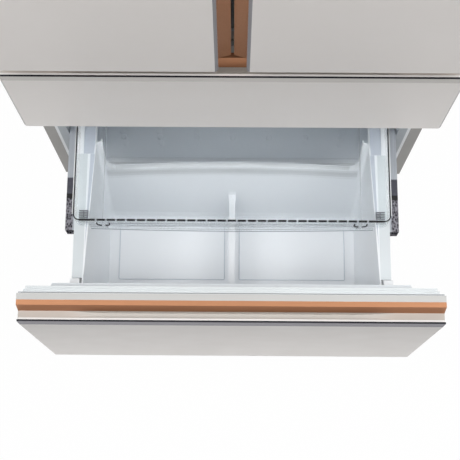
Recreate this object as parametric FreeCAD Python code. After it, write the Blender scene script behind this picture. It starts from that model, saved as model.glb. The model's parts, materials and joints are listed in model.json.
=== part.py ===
import FreeCAD
import Part
import math
import os

# A four-door refrigerator: two French doors over a full-width middle drawer and a bottom freezer drawer.
# Millimetres. X is to the right, Z is up, and the fronts face -Y. Pieces are drawn with the drawers
# closed and y 0 at the outer face of the fronts, then moved to the rest pose: freezer drawer open.

V = FreeCAD.Vector
EPS = 1e-6

# Overall size
WIDTH = 908.0              # across the case and the drawer fronts
DOOR_UNDER_TOP = 10.0      # top of the doors below the top of the case
CASE_BOTTOM = 45.0
SKIRT_BOTTOM = 10.0        # lower edge of the side sheets
CASE_DEPTH = 736.0         # cabinet face to the back of the rear panel
FRONT_DEPTH = 80.0         # outer face of a closed front to the cabinet face
DRAWER_OPEN = 428.0        # freezer drawer's travel, open at rest
SHEET = 1.0                # steel sheet of the case
FLANGE_W = 27.0            # steel flange beside the openings
REAR_LIP = 14.0            # rear flange of the case

# Fronts, from the floor up
FREEZER_FRONT_BOTTOM = 65.0
FREEZER_FRONT_H = 480.0
MIDDLE_FRONT_H = 266.0
DOOR_H = 862.0
FRONT_GAP = 36.0           # panel edge to panel edge
CENTRE_GAP = 6.0           # between the French doors

# Cabinet openings against the fronts that close them
OPENING_UNDER_TOP = 6.0
OPENING_OVER_BOTTOM = 28.0
DOOR_OPENING_UNDER_TOP = 28.0
WALL = 55.0                # insulated side wall
LINER_T = 2.5
LINER_LIP = 13.0           # liner's face lip above and below an opening
FRESH_DEPTH = 660.0        # cabinet face to a compartment's rear wall
FREEZER_DEPTH = 564.0
FREEZER_FLOOR_DEPTH = 384.0
HUMP_DEPTH = 464.0         # cabinet face to the top of the compressor hump
HUMP_FOAM = 45.0           # foam between the machine compartment and the hump
LINER_ROUND = 16.0

# Machine compartment
DECK_DEPTH = 439.0         # cabinet face to the foot of the compartment wall
WALL_LEAN = 75.0
MACHINE_TOP = 255.0

# Front build-up, from the outer face back
PANEL_T = 10.0
PANEL_CHAMFER = 6.0
LIP_T = 4.0
POCKET_W = 23.0
STRIP_T = 1.2
STRIP_TOP_W = 11.0
STRIP_LEAN = 8.0           # foot of the strip's front leg, before its top
CAP_H = 24.0               # cap above the panel's handle edge
BODY_BACK = 62.0
LINER_PLATE = 4.0
GASKET_AIR = 0.4
GASKET_W = 20.0
GASKET_INSET = 14.0        # gasket inside the front's outline
GASKET_UNDER_CAP = 5.0
DYKE_DEPTH = 28.0
DOOR_DYKE_DEPTH = 46.0
DYKE_AIR = 4.0
DYKE_DRAFT = 8.0
DYKE_UNDER_OPENING = 10.0
DYKE_WALL = 24.0
POCKET_RIM = 3.0           # depth of the pocket at its ends
POCKET_DEPTH = 28.0
POCKET_END = 94.0          # length of the shallow part at each end
POCKET_BLEND = 100.0

# Freezer bin
RIM_UNDER_CEILING = 107.0
FLOOR_OVER_LINER = 39.0
BIN_WALL = 3.0
BIN_DRAFT = 22.0           # each side, rim to floor
BIN_BEHIND_FRONT = 11.0    # behind the drawer front's dyke
BIN_LENGTH = 341.0
BIN_FRONT_DRAFT = 25.0
BIN_BACK_DRAFT = 94.0
BIN_NARROWING = 18.0       # each side, front of the rim to its back
BIN_ROUND = 10.0
RIM_W = 25.0
RIM_T = 3.5
RIM_OVERHANG = 3.0         # flange beyond the side bracket
RIM_LEDGE = 4.0            # raised strip that the tray slides on
RIM_INSET = 19.0           # flange starts behind the front wall
RIM_TAIL = 40.0            # flange runs on behind the back wall
RIM_RIB = 2.5              # ribs along the tail
RIM_RIB_OUTER_W = 14.0
RIM_RIB_INNER_W = 4.0
RIM_LEDGE_SHORT = 28.0     # strip ends before the back wall
CUT_SHOULDER = 31.0        # U-shaped cut in the back wall: rim left at each side
CUT_DEPTH = 104.0
CUT_BOW = 12.0
CUT_ROUND = 24.0
BEAD = 9.0
EMBOSS_MARGIN = 26.0       # raised floor panels
EMBOSS_FRONT_MARGIN = 55.0
EMBOSS_BACK_MARGIN = 12.0
EMBOSS_H = 1.2
DIVIDER_T = 15.0
DIVIDER_H = 95.0
DIVIDER_HEAD = 19.0

# Middle bin
MIDDLE_RIM_UNDER_CEILING = 45.0
MIDDLE_FLOOR_OVER_LINER = 31.0

# Clear tray on the freezer bin's rim
TRAY_LAP = 20.0            # tray beyond the bin's inner edge
TRAY_RISE = 58.0           # above the rim
TRAY_SINK = 20.0           # tub's floor below the rim
TRAY_TUB_AIR = 7.0         # tub inside the U-cut
TRAY_SETBACK = 138.0       # behind the bin's front wall
TRAY_LENGTH = 290.0
TRAY_T = 2.6
TRAY_AIR = 0.3
TRAY_BOW = 18.0            # fascia's lower edge, middle below ends
TRAY_HANG = 14.0           # fascia below the bin's rim
TRAY_FASCIA_AIR = 12.0     # fascia's ends inside the bin
TRAY_ROUND = 14.0
TRAY_NOTCH_END = 40.0
TRAY_NOTCH_W = 4.0
TRAY_NOTCH_PITCH = 22.4

# Slides
RAIL_T = 1.6
RAIL_LIP = 2.6
RAIL_PLAY = 0.4
RAIL_HALF = 22.5
RAIL_LENGTH = 436.0
RAIL_AIR = 4.0             # slides behind the drawer front's dyke
RAIL_OUT = 15.0            # reach of the outer member from the wall
RAIL_NEST = 1.0            # web to web
RAIL_SHARE = 0.618         # intermediate travel over drawer travel
RAIL_ROOM = 43.0           # wall to the side bracket that carries the inner member
RAIL_INNER_W = 18.0
RAIL_GAP = 2.0             # intermediate member to the side bracket
BRACKET_T = 2.0
FREEZER_RAIL_DROP = 122.5  # slide's centre below the bin's rim
MIDDLE_RAIL_DROP = 106.0

# French doors
HINGE_FROM_EDGE = 14.0
HINGE_DEPTH = 30.0
PIN_R = 6.0
PIN_PLAY = 0.08
PIN_LENGTH = 30.0
HINGE_T = 5.0
HINGE_ARM = 46.0           # plate inboard of the pin
HINGE_REACH = 150.0        # plate behind the cabinet face
COVER_LAP = 6.0            # cover beyond the plate
COVER_NOSE = 24.0          # cover in front of the pin
COVER_H = 20.0
COVER_T = 2.0
COVER_SLOPE = 10.0
DOOR_DYKE_CENTRE = 48.0    # centre line to the door dyke
DOOR_BIN_DEPTH = 104.0
DOOR_BIN_H = 105.0
DOOR_BIN_LOW = 67.0        # lowest bin above the door's bottom edge
DOOR_BIN_PITCH = 260.0
DOOR_BIN_COUNT = 3
DOOR_BIN_ROUND = 26.0
FLIPPER_PIVOT_X = 30.0
FLIPPER_PIVOT_DEPTH = 11.0  # behind the cabinet face
FLIPPER_T = 18.0
FLIPPER_W = 64.0
FLIPPER_PIN_R = 3.0

# Fresh food compartment
SHELF_AIR = 44.0           # behind the door bins
CRISPER_ROOM = 219.0
SHELF_PITCH = 200.0
SHELF_COUNT = 3
SHELF_T = 14.0
SHELF_EDGE = 18.0
GLASS_T = 4.0
SHELF_RIB = 9.0
CRISPER_H = 190.0
CRISPER_T = 3.0
CRISPER_ROUND = 26.0
CRISPER_PULL = 12.0
CRISPER_PULL_H = 34.0
CRISPER_PULL_INSET = 90.0

# Base
FOOT_R = 20.0
FOOT_H = 9.0
FOOT_STEM_R = 6.0
FOOT_INSET = 50.0
FOOT_DEPTH = 44.0          # behind the cabinet face
ROLLER_R = 20.0
ROLLER_W = 22.0
ROLLER_INSET = 50.0
ROLLER_FROM_BACK = 96.0
AXLE_R = 4.0
AXLE_PLAY = 0.08

# Cooling machinery
COMPRESSOR_R = 78.0
COMPRESSOR_H = 150.0
COMPRESSOR_INSET = 184.0
COMPRESSOR_ROUND = 34.0
MOUNT_H = 16.0
MOUNT_R = 13.0
FAN_R = 68.0
FAN_W = 26.0
FAN_SHAFT_R = 3.0
FAN_SHAFT_PLAY = 0.08
EVAP_FAN_R = 50.0
EVAP_COVER_T = 3.0
EVAP_GAP = 78.0            # evaporator cover in front of the freezer's rear wall
TUBE_R = 4.0
FIN_T = 1.0
FIN_MARGIN = 16.0
CONDENSER_START = 30.0
CONDENSER_INSET = 104.0
CONDENSER_LOW = 70.0
CONDENSER_PITCH_Z = 40.0
CONDENSER_AIR = 51.0       # fins inside the machine compartment
CONDENSER_ROWS = 3
CONDENSER_FINS = 15
PAN_AIR = 12.0
PAN_H = 40.0
PAN_T = 2.0
PAN_ROUND = 12.0
PAN_WALL_AIR = 27.0        # pan inside the machine compartment
EVAP_INSET = 59.0
EVAP_LOW = 34.0
EVAP_PITCH_Z = 30.0
EVAP_PITCH_Y = 28.0
EVAP_FINS = 20
FAN_X = -70.0
FAN_HEIGHT = 100.0
EVAP_FAN_AIR = 8.0
EVAP_FAN_UNDER = 12.0

# Worked out from the driving sizes
HALF = WIDTH / 2
FACE = FRONT_DEPTH
BACK = FACE + CASE_DEPTH
FREEZER_TOP = FREEZER_FRONT_BOTTOM + FREEZER_FRONT_H
MIDDLE_BOTTOM = FREEZER_TOP + FRONT_GAP
MIDDLE_TOP = MIDDLE_BOTTOM + MIDDLE_FRONT_H
DOOR_BOTTOM = MIDDLE_TOP + FRONT_GAP
DOOR_TOP = DOOR_BOTTOM + DOOR_H
CASE_TOP = DOOR_TOP + DOOR_UNDER_TOP
LINER_X = HALF - WALL
LIP_X = HALF - FLANGE_W
FREEZER_OPENING = (FREEZER_FRONT_BOTTOM + OPENING_OVER_BOTTOM, FREEZER_TOP - OPENING_UNDER_TOP)
MIDDLE_OPENING = (MIDDLE_BOTTOM + OPENING_OVER_BOTTOM, MIDDLE_TOP - OPENING_UNDER_TOP)
FRESH_OPENING = (DOOR_BOTTOM + OPENING_OVER_BOTTOM, DOOR_TOP - DOOR_OPENING_UNDER_TOP)
POCKET_FRONT = PANEL_T + LIP_T
STRIP_FRONT = POCKET_FRONT + POCKET_W
GASKET_FRONT = BODY_BACK + LINER_PLATE
FRONT_Y = (DRAWER_OPEN - BACK) / 2
HINGE_X = HALF - HINGE_FROM_EDGE
PANEL_EDGE_X = CENTRE_GAP / 2 + CAP_H
DOOR_MID = (DOOR_BOTTOM + DOOR_TOP) / 2
DYKE_BACK = GASKET_FRONT + DYKE_DEPTH
HUMP_H = MACHINE_TOP + HUMP_FOAM
BRACKET_X = LINER_X - RAIL_ROOM
RAIL_FRONT = DYKE_BACK + RAIL_AIR
BIN_TOP_HALF = BRACKET_X + RIM_OVERHANG - RIM_W
BIN_REAR_HALF = BIN_TOP_HALF - BIN_NARROWING
BIN_BOTTOM_HALF = BIN_TOP_HALF - BIN_DRAFT
BIN_RIM = FREEZER_OPENING[1] - RIM_UNDER_CEILING
BIN_FLOOR = FREEZER_OPENING[0] + FLOOR_OVER_LINER
BIN_FRONT = DYKE_BACK + BIN_BEHIND_FRONT
BIN_BACK = BIN_FRONT + BIN_LENGTH
BIN_FLOOR_FRONT = BIN_FRONT + BIN_FRONT_DRAFT
BIN_FLOOR_BACK = BIN_BACK - BIN_BACK_DRAFT
RIM_START = BIN_FRONT + RIM_INSET
RIM_LEDGE_END = BIN_BACK - RIM_LEDGE_SHORT
CUT_HALF = BIN_TOP_HALF - CUT_SHOULDER
CUT_BOTTOM = BIN_RIM - CUT_DEPTH
EMBOSS_HALF = BIN_BOTTOM_HALF - EMBOSS_MARGIN
EMBOSS_FRONT = BIN_FLOOR_FRONT + EMBOSS_FRONT_MARGIN
EMBOSS_BACK = BIN_FLOOR_BACK - EMBOSS_BACK_MARGIN
MIDDLE_BIN_RIM = MIDDLE_OPENING[1] - MIDDLE_RIM_UNDER_CEILING
MIDDLE_BIN_FLOOR = MIDDLE_OPENING[0] + MIDDLE_FLOOR_OVER_LINER
FREEZER_RAIL_Z = BIN_RIM - FREEZER_RAIL_DROP
MIDDLE_RAIL_Z = MIDDLE_BIN_RIM - MIDDLE_RAIL_DROP
TRAY_HALF = BIN_TOP_HALF + TRAY_LAP
TRAY_TOP = BIN_RIM + TRAY_RISE
TRAY_FLOOR = BIN_RIM - TRAY_SINK
TRAY_TUB_HALF = CUT_HALF - TRAY_TUB_AIR
TRAY_FRONT = BIN_FRONT + TRAY_SETBACK
SHELF_FRONT = GASKET_FRONT + DOOR_BIN_DEPTH + SHELF_AIR
SHELF_HEIGHTS = [FRESH_OPENING[0] + CRISPER_ROOM + i * SHELF_PITCH for i in range(SHELF_COUNT)]
DOOR_BIN_HEIGHTS = [DOOR_BOTTOM + DOOR_BIN_LOW + i * DOOR_BIN_PITCH for i in range(DOOR_BIN_COUNT)]
FOOT_X = HALF - FOOT_INSET
ROLLER_X = HALF - ROLLER_INSET
ROLLER_Y = BACK - ROLLER_FROM_BACK
MACHINE_FRONT = FACE + DECK_DEPTH + WALL_LEAN
MACHINE_MID = (MACHINE_FRONT + BACK) / 2
CONDENSER_PITCH_Y = (BACK - MACHINE_FRONT) / 2 - CONDENSER_AIR - FIN_MARGIN
COMPRESSOR_X = COMPRESSOR_INSET - HALF
CONDENSER_END = HALF - CONDENSER_INSET


def box(x0, x1, y0, y1, z0, z1):
    """A box between two corners."""
    return Part.makeBox(x1 - x0, y1 - y0, z1 - z0, V(x0, y0, z0))


def cylinder(radius, height, base, direction):
    return Part.makeCylinder(radius, height, base, direction)


def polygon_face(points):
    return Part.Face(Part.makePolygon(points + [points[0]]))


def prism_x(points, x0, x1):
    """A (y, z) outline extruded along X."""
    return polygon_face([V(x0, y, z) for y, z in points]).extrude(V(x1 - x0, 0, 0))


def prism_y(points, y0, y1):
    """An (x, z) outline extruded along Y."""
    return polygon_face([V(x, y0, z) for x, z in points]).extrude(V(0, y1 - y0, 0))


def prism_z(points, z0, z1):
    """An (x, y) outline extruded along Z."""
    return polygon_face([V(x, y, z0) for x, y in points]).extrude(V(0, 0, z1 - z0))


def mirrored(shape):
    """The same piece on the other side of the centre line."""
    return shape.mirror(V(0, 0, 0), V(1, 0, 0))


def pair(shape):
    return Part.makeCompound([shape, mirrored(shape)])


def fuse(shapes):
    return shapes[0].multiFuse(shapes[1:]).removeSplitter()


def cut_all(shape, tools):
    return shape.cut(Part.makeCompound(tools))


def round_loop(corners, r):
    """A closed outline with round corners, as a wire."""
    arcs = []
    for i, corner in enumerate(corners):
        before = (corners[i - 1] - corner).normalize()
        after = (corners[(i + 1) % len(corners)] - corner).normalize()
        half = before.getAngle(after) / 2
        reach = r / math.tan(half)
        middle = corner + (before + after).normalize() * (r / math.sin(half) - r)
        arcs.append((corner + before * reach, middle, corner + after * reach))
    edges = []
    for i, (start, middle, end) in enumerate(arcs):
        edges.append(Part.Arc(start, middle, end).toShape())
        edges.append(Part.LineSegment(end, arcs[(i + 1) % len(arcs)][0]).toShape())
    return Part.Wire(edges)


def round_rect(x0, x1, y0, y1, z, r):
    """A level rectangle with round corners, as a wire."""
    return round_loop([V(x1, y0, z), V(x1, y1, z), V(x0, y1, z), V(x0, y0, z)], r)


def tapered(bottom, top, z0, z1, r):
    """A solid between two round rectangles, each given as (x0, x1, y0, y1)."""
    return Part.makeLoft([round_rect(*bottom, z0, r), round_rect(*top, z1, r)], True, True)


def grown(rect, d):
    return (rect[0] - d, rect[1] + d, rect[2] - d, rect[3] + d)


def rounded_plate(x0, x1, y0, y1, z0, z1, r):
    return Part.Face(round_rect(x0, x1, y0, y1, z0, r)).extrude(V(0, 0, z1 - z0))


# Case


def case_wrap():
    """Sides and top, one bent sheet with a flange at the face and a lip at the back."""
    shell = box(-HALF, HALF, FACE, BACK - SHEET, SKIRT_BOTTOM, CASE_TOP)
    inside = box(-HALF + SHEET, HALF - SHEET, FACE + SHEET, BACK - 2 * SHEET,
                 SKIRT_BOTTOM - SHEET, CASE_TOP - SHEET)
    face_hole = box(-LIP_X, LIP_X, FACE - SHEET, FACE + 2 * SHEET,
                    SKIRT_BOTTOM - SHEET, FRESH_OPENING[1] + LINER_LIP)
    back_hole = box(-HALF + REAR_LIP, HALF - REAR_LIP, BACK - 3 * SHEET, BACK,
                    SKIRT_BOTTOM - SHEET, CASE_TOP - REAR_LIP)
    return cut_all(shell, [inside, face_hole, back_hole])


def back_panel():
    """Rear sheet with vertical stiffening ribs."""
    rib_w = 40.0
    rib_h = 3.0
    rib_edge = 60.0
    sheet = box(-HALF, HALF, BACK - SHEET, BACK, MACHINE_TOP, CASE_TOP)
    ribs = []
    grooves = []
    for x in (-HALF * 0.6, 0.0, HALF * 0.6):
        low = MACHINE_TOP + rib_edge
        high = CASE_TOP - rib_edge
        ribs.append(box(x - rib_w / 2, x + rib_w / 2, BACK - SHEET - rib_h, BACK - rib_h, low, high))
        grooves.append(box(x - rib_w / 2 + SHEET, x + rib_w / 2 - SHEET, BACK - rib_h, BACK, low + SHEET,
                           high - SHEET))
        ribs.append(box(x - rib_w / 2, x + rib_w / 2, BACK - SHEET - rib_h, BACK, low, high))
    return fuse([sheet] + ribs).cut(Part.makeCompound(grooves))


def machine_outline(offset):
    """Foot of the compartment wall, its top and the back, moved up or down by a sheet."""
    foot = FACE + DECK_DEPTH
    return [(foot, CASE_BOTTOM + offset), (foot + WALL_LEAN, MACHINE_TOP + offset)]


def base_pan():
    """Bent floor sheet, compressor deck, and the ears and axles of the rear rollers."""
    foot, knee = machine_outline(0.0)
    sheet = prism_x(
        [(FACE + SHEET, CASE_BOTTOM), foot, knee, (BACK - 2 * SHEET, MACHINE_TOP),
         (BACK - 2 * SHEET, MACHINE_TOP + SHEET), (knee[0] - SHEET, MACHINE_TOP + SHEET),
         (foot[0] - SHEET, CASE_BOTTOM + SHEET), (FACE + SHEET, CASE_BOTTOM + SHEET)],
        -HALF + SHEET, HALF - SHEET)
    deck_lap = 20.0
    deck = box(-HALF + SHEET, HALF - SHEET, foot[0] - deck_lap, BACK - 2 * SHEET,
               CASE_BOTTOM - SHEET, CASE_BOTTOM)
    front_rail = box(-LIP_X, LIP_X, FACE, FACE + SHEET, CASE_BOTTOM, FREEZER_OPENING[0] - LINER_LIP)
    ear_t = 3.0
    ear_gap = ROLLER_W / 2 + 2.0
    ear_half = 14.0
    ears = []
    for side in (-1, 1):
        for edge in (-1, 1):
            inner = side * ROLLER_X + edge * ear_gap
            outer = inner + edge * ear_t
            ears.append(box(min(inner, outer), max(inner, outer), ROLLER_Y - ear_half,
                            ROLLER_Y + ear_half, ROLLER_R - AXLE_R * 2, CASE_BOTTOM - SHEET))
        start = V(side * ROLLER_X - ear_gap - ear_t, ROLLER_Y, ROLLER_R)
        ears.append(cylinder(AXLE_R, 2 * (ear_gap + ear_t), start, V(1, 0, 0)))
    return fuse([sheet, deck, front_rail] + ears)


def rear_rollers():
    """Crowned rollers with a bore for the axle."""
    hub = 1.5
    wheel = cylinder(ROLLER_R, ROLLER_W, V(ROLLER_X - ROLLER_W / 2, ROLLER_Y, ROLLER_R), V(1, 0, 0))
    rims = [e for e in wheel.Edges if e.Closed]
    wheel = wheel.makeChamfer(hub, rims)
    bore = cylinder(AXLE_R + AXLE_PLAY, ROLLER_W * 2, V(ROLLER_X - ROLLER_W, ROLLER_Y, ROLLER_R),
                    V(1, 0, 0))
    return pair(wheel.cut(bore))


def leveling_feet():
    """Pad and threaded stem under each front corner."""
    at = V(FOOT_X, FACE + FOOT_DEPTH, 0)
    pad = Part.makeCone(FOOT_R, FOOT_R * 0.7, FOOT_H, at)
    stem = cylinder(FOOT_STEM_R, CASE_BOTTOM - FOOT_H, at + V(0, 0, FOOT_H), V(0, 0, 1))
    nut_h = 7.0
    nut = cylinder(FOOT_STEM_R * 1.9, nut_h, at + V(0, 0, CASE_BOTTOM - nut_h), V(0, 0, 1))
    return pair(fuse([pad, stem, nut]))


def toe_grille():
    """Front base grille with a row of upright slots."""
    bottom = 12.0
    thick = 4.0
    setback = 10.0
    slots = 40
    slot_w = 9.0
    margin = 9.0
    side_air = 26.0
    half = HALF - side_air
    front = FACE + setback
    plate = box(-half, half, front, front + thick, bottom, CASE_BOTTOM)
    shelf = box(-half, half, front, front + setback, CASE_BOTTOM - thick, CASE_BOTTOM)
    pitch = (2 * half - 4 * margin) / slots
    holes = []
    for i in range(slots):
        x = -half + 2 * margin + (i + 0.5) * pitch
        holes.append(box(x - slot_w / 2, x + slot_w / 2, front - thick, front + 2 * thick,
                         bottom + margin, CASE_BOTTOM - margin))
    return fuse([plate, shelf]).cut(Part.makeCompound(holes))


def machine_cover():
    """Rear cover of the machine compartment with louvre slots."""
    side_air = 20.0
    half = HALF - side_air
    plate = box(-half, half, BACK - SHEET, BACK, CASE_BOTTOM, MACHINE_TOP)
    rows = 7
    columns = 4
    slot_h = 8.0
    margin = 34.0
    pitch_z = (MACHINE_TOP - CASE_BOTTOM - 2 * margin) / (rows - 1)
    pitch_x = (2 * half - 2 * margin) / columns
    holes = []
    for row in range(rows):
        z = CASE_BOTTOM + margin + row * pitch_z
        for column in range(columns):
            x = -half + margin + column * pitch_x
            holes.append(box(x + margin / 2, x + pitch_x - margin / 2, BACK - 3 * SHEET, BACK + SHEET,
                             z - slot_h / 2, z + slot_h / 2))
    return plate.cut(Part.makeCompound(holes))


# Liners and insulation


def rounded_cavity(opening, depth):
    """The inside of a compartment, with round edges along its depth and at its back."""
    hollow = box(-LINER_X, LINER_X, FACE, FACE + depth, opening[0], opening[1])
    edges = [e for e in hollow.Edges if max(v.Y for v in e.Vertexes) > FACE + EPS]
    return hollow.makeFillet(LINER_ROUND, edges)


def freezer_outline(d):
    """Freezer compartment in (y, z), with the compressor hump at its back, grown by d."""
    low, high = FREEZER_OPENING
    lean = math.hypot(HUMP_DEPTH - FREEZER_FLOOR_DEPTH, HUMP_H - low)
    along = (HUMP_H - low) / lean
    shift = d * (1 - (HUMP_DEPTH - FREEZER_FLOOR_DEPTH) / lean) / along
    return [(FACE, low - d), (FACE + FREEZER_FLOOR_DEPTH + shift, low - d),
            (FACE + HUMP_DEPTH + shift, HUMP_H - d), (FACE + FREEZER_DEPTH + d, HUMP_H - d),
            (FACE + FREEZER_DEPTH + d, high + d), (FACE, high + d)]


def freezer_cavity():
    hollow = prism_x(freezer_outline(0.0), -LINER_X, LINER_X)
    edges = [e for e in hollow.Edges
             if len(e.Vertexes) == 2 and abs(e.Vertexes[0].X - e.Vertexes[1].X) < EPS
             and abs(e.Vertexes[0].Z - e.Vertexes[1].Z) < EPS
             and min(v.Y for v in e.Vertexes) < FACE + EPS]
    return hollow.makeFillet(LINER_ROUND, edges)


def face_lip(opening):
    return box(-LIP_X, LIP_X, FACE, FACE + LINER_T, opening[0] - LINER_LIP, opening[1] + LINER_LIP)


def plain_tub(opening, depth):
    return box(-LINER_X - LINER_T, LINER_X + LINER_T, FACE, FACE + depth + LINER_T,
               opening[0] - LINER_T, opening[1] + LINER_T)


def freezer_tub():
    return prism_x(freezer_outline(LINER_T), -LINER_X - LINER_T, LINER_X + LINER_T)


def fresh_food_liner():
    """White tub with a ledge under each shelf."""
    rib_t = 8.0
    hollow = rounded_cavity(FRESH_OPENING, FRESH_DEPTH)
    tub = fuse([plain_tub(FRESH_OPENING, FRESH_DEPTH), face_lip(FRESH_OPENING)]).cut(hollow)
    ribs = []
    for z in SHELF_HEIGHTS:
        for side in (-1, 1):
            wall = side * (LINER_X + LINER_T / 2)
            tip = side * (LINER_X - SHELF_RIB)
            ribs.append(box(min(wall, tip), max(wall, tip), SHELF_FRONT, FACE + FRESH_DEPTH - LINER_ROUND,
                            z - SHELF_T - rib_t, z - SHELF_T))
    return fuse([tub] + ribs)


def middle_liner():
    hollow = rounded_cavity(MIDDLE_OPENING, FREEZER_DEPTH)
    return fuse([plain_tub(MIDDLE_OPENING, FREEZER_DEPTH), face_lip(MIDDLE_OPENING)]).cut(hollow)


def freezer_liner():
    """White tub over the compressor hump, with a row of moulded nubs across its floor."""
    nubs = 7
    nub_pitch = 96.6
    nub_depth = 72.0
    nub_r = 9.0
    nub_h = 7.0
    tub = fuse([freezer_tub(), face_lip(FREEZER_OPENING)]).cut(freezer_cavity())
    bumps = []
    for i in range(nubs):
        x = (i - (nubs - 1) / 2) * nub_pitch
        at = V(x, FACE + nub_depth, FREEZER_OPENING[0] - LINER_T / 2)
        bumps.append(Part.makeCone(nub_r, nub_r * 0.55, nub_h + LINER_T / 2, at))
    return fuse([tub] + bumps)


def cabinet_foam():
    """Insulation between the case and the liners, with the two mullions between the compartments."""
    foot, knee = machine_outline(SHEET)
    block = prism_x(
        [(FACE + SHEET, CASE_BOTTOM + SHEET), (foot[0] - SHEET, foot[1]), (knee[0] - SHEET, knee[1]),
         (BACK - 2 * SHEET, MACHINE_TOP + SHEET), (BACK - 2 * SHEET, CASE_TOP - SHEET),
         (FACE + SHEET, CASE_TOP - SHEET)],
        -HALF + SHEET, HALF - SHEET)
    hollows = [plain_tub(FRESH_OPENING, FRESH_DEPTH), plain_tub(MIDDLE_OPENING, FREEZER_DEPTH), freezer_tub(),
               face_lip(FRESH_OPENING), face_lip(MIDDLE_OPENING), face_lip(FREEZER_OPENING)]
    rib_room = 6.0
    for x in (-HALF * 0.6, 0.0, HALF * 0.6):
        rib_w = 40.0
        hollows.append(box(x - rib_w / 2, x + rib_w / 2, BACK - rib_room, BACK, MACHINE_TOP, CASE_TOP))
    return cut_all(block, hollows)


def mullion_covers():
    """Steel faces of the two mullions, between the liners' lips."""
    bars = []
    for low, high in ((FREEZER_OPENING[1], MIDDLE_OPENING[0]), (MIDDLE_OPENING[1], FRESH_OPENING[0])):
        bars.append(box(-LIP_X, LIP_X, FACE, FACE + SHEET, low + LINER_LIP, high - LINER_LIP))
    return Part.makeCompound(bars)


# Fronts


def s_curve(x0, z0, x1, z1, y):
    """Two tangent arcs, level at both ends."""
    dx = (x1 - x0) / 2
    dz = (z1 - z0) / 2
    radius = (dx * dx + dz * dz) / (2 * abs(dz))
    half_turn = math.asin(abs(dx) / radius) / 2
    step_x = math.copysign(radius * math.sin(half_turn), dx)
    step_z = math.copysign(radius * (1 - math.cos(half_turn)), dz)
    middle = V(x0 + dx, y, z0 + dz)
    first = Part.Arc(V(x0, y, z0), V(x0 + step_x, y, z0 + step_z), middle).toShape()
    second = Part.Arc(middle, V(x1 - step_x, y, z1 - step_z), V(x1, y, z1)).toShape()
    return [first, second]


def pocket_cut(length):
    """Finger scoop: shallow at the ends, deep along the middle, with curved blends."""
    flat = length / 2 - POCKET_END - POCKET_BLEND
    far = flat + POCKET_BLEND
    y = POCKET_FRONT
    top = CAP_H * 2
    edges = s_curve(-far, -POCKET_RIM, -flat, -POCKET_DEPTH, y)
    edges.append(Part.LineSegment(V(-flat, y, -POCKET_DEPTH), V(flat, y, -POCKET_DEPTH)).toShape())
    edges += s_curve(flat, -POCKET_DEPTH, far, -POCKET_RIM, y)
    ring = [V(far, y, -POCKET_RIM), V(far, y, top), V(-far, y, top), V(-far, y, -POCKET_RIM)]
    for start, end in zip(ring, ring[1:]):
        edges.append(Part.LineSegment(start, end).toShape())
    scoop = Part.Face(Part.Wire(Part.__sortEdges__(edges))).extrude(V(0, POCKET_W - STRIP_LEAN, 0))
    channel = prism_x(
        [(POCKET_FRONT, -POCKET_RIM), (STRIP_FRONT - STRIP_LEAN + STRIP_T, -POCKET_RIM),
         (STRIP_FRONT + STRIP_T, CAP_H - STRIP_T), (STRIP_FRONT + STRIP_T, top), (POCKET_FRONT, top)],
        -length, length)
    return fuse([scoop, channel])


def front_panel(length, height):
    """Flat face panel with a chamfer round its outer face; its handle edge lies along X at z 0."""
    panel = box(-length / 2, length / 2, 0, PANEL_T, -height, 0)
    edges = [e for e in panel.Edges if max(abs(v.Y) for v in e.Vertexes) < EPS]
    return panel.makeChamfer(PANEL_CHAMFER, edges)


def front_body(length, height):
    """Core behind the panel with the white lip, the finger pocket and the raised cap."""
    inset = 1.5
    half = length / 2 - inset
    core = box(-half, half, PANEL_T, BODY_BACK, -height + inset, CAP_H)
    over_lip = box(-length, length, PANEL_T - inset, POCKET_FRONT, 0, CAP_H * 2)
    strip_seat = box(-length, length, STRIP_FRONT, STRIP_FRONT + STRIP_TOP_W, CAP_H - STRIP_T, CAP_H * 2)
    return cut_all(core, [over_lip, pocket_cut(length), strip_seat])


def handle_strip(length):
    """Copper angle along the pocket's back edge: a top leg and a front leg that leans into the pocket."""
    inset = 1.5
    half = length / 2 - inset
    front = STRIP_FRONT
    return prism_x(
        [(front - STRIP_LEAN, -POCKET_RIM), (front, CAP_H), (front + STRIP_TOP_W, CAP_H),
         (front + STRIP_TOP_W, CAP_H - STRIP_T), (front + STRIP_T, CAP_H - STRIP_T),
         (front - STRIP_LEAN + STRIP_T, -POCKET_RIM)], -half, half)


def upright_loft(outer, inner, y0, y1):
    """A solid between two (x0, x1, z0, z1) rectangles at two depths."""
    wires = []
    for (x0, x1, z0, z1), y in ((outer, y0), (inner, y1)):
        corners = [V(x0, y, z0), V(x1, y, z0), V(x1, y, z1), V(x0, y, z1)]
        wires.append(Part.makePolygon(corners + [corners[0]]))
    return Part.makeLoft(wires, True, True)


def inner_plate(length, height):
    margin = 5.0
    half = length / 2 - margin
    return box(-half, half, BODY_BACK, GASKET_FRONT, -height + margin, CAP_H - GASKET_UNDER_CAP / 2)


def gasket(length, height, hinge_inset):
    """Magnetic seal: a base strip with a narrower bulb, mitred round the front."""
    half = length / 2 - GASKET_INSET
    low = -height + hinge_inset
    high = CAP_H - GASKET_UNDER_CAP
    step = 4.0
    base_back = GASKET_FRONT + (FACE - GASKET_FRONT) * 0.45
    rings = []
    for d, y0, y1 in ((0.0, GASKET_FRONT, base_back), (step, base_back, FACE - GASKET_AIR)):
        outer = box(-half + d, half - d, y0, y1, low + d, high - d)
        inner = box(-half + GASKET_W - d, half - GASKET_W + d, y0, y1,
                    low + GASKET_W - d, high - GASKET_W + d)
        rings.append(outer.cut(inner))
    return fuse(rings)


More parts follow.
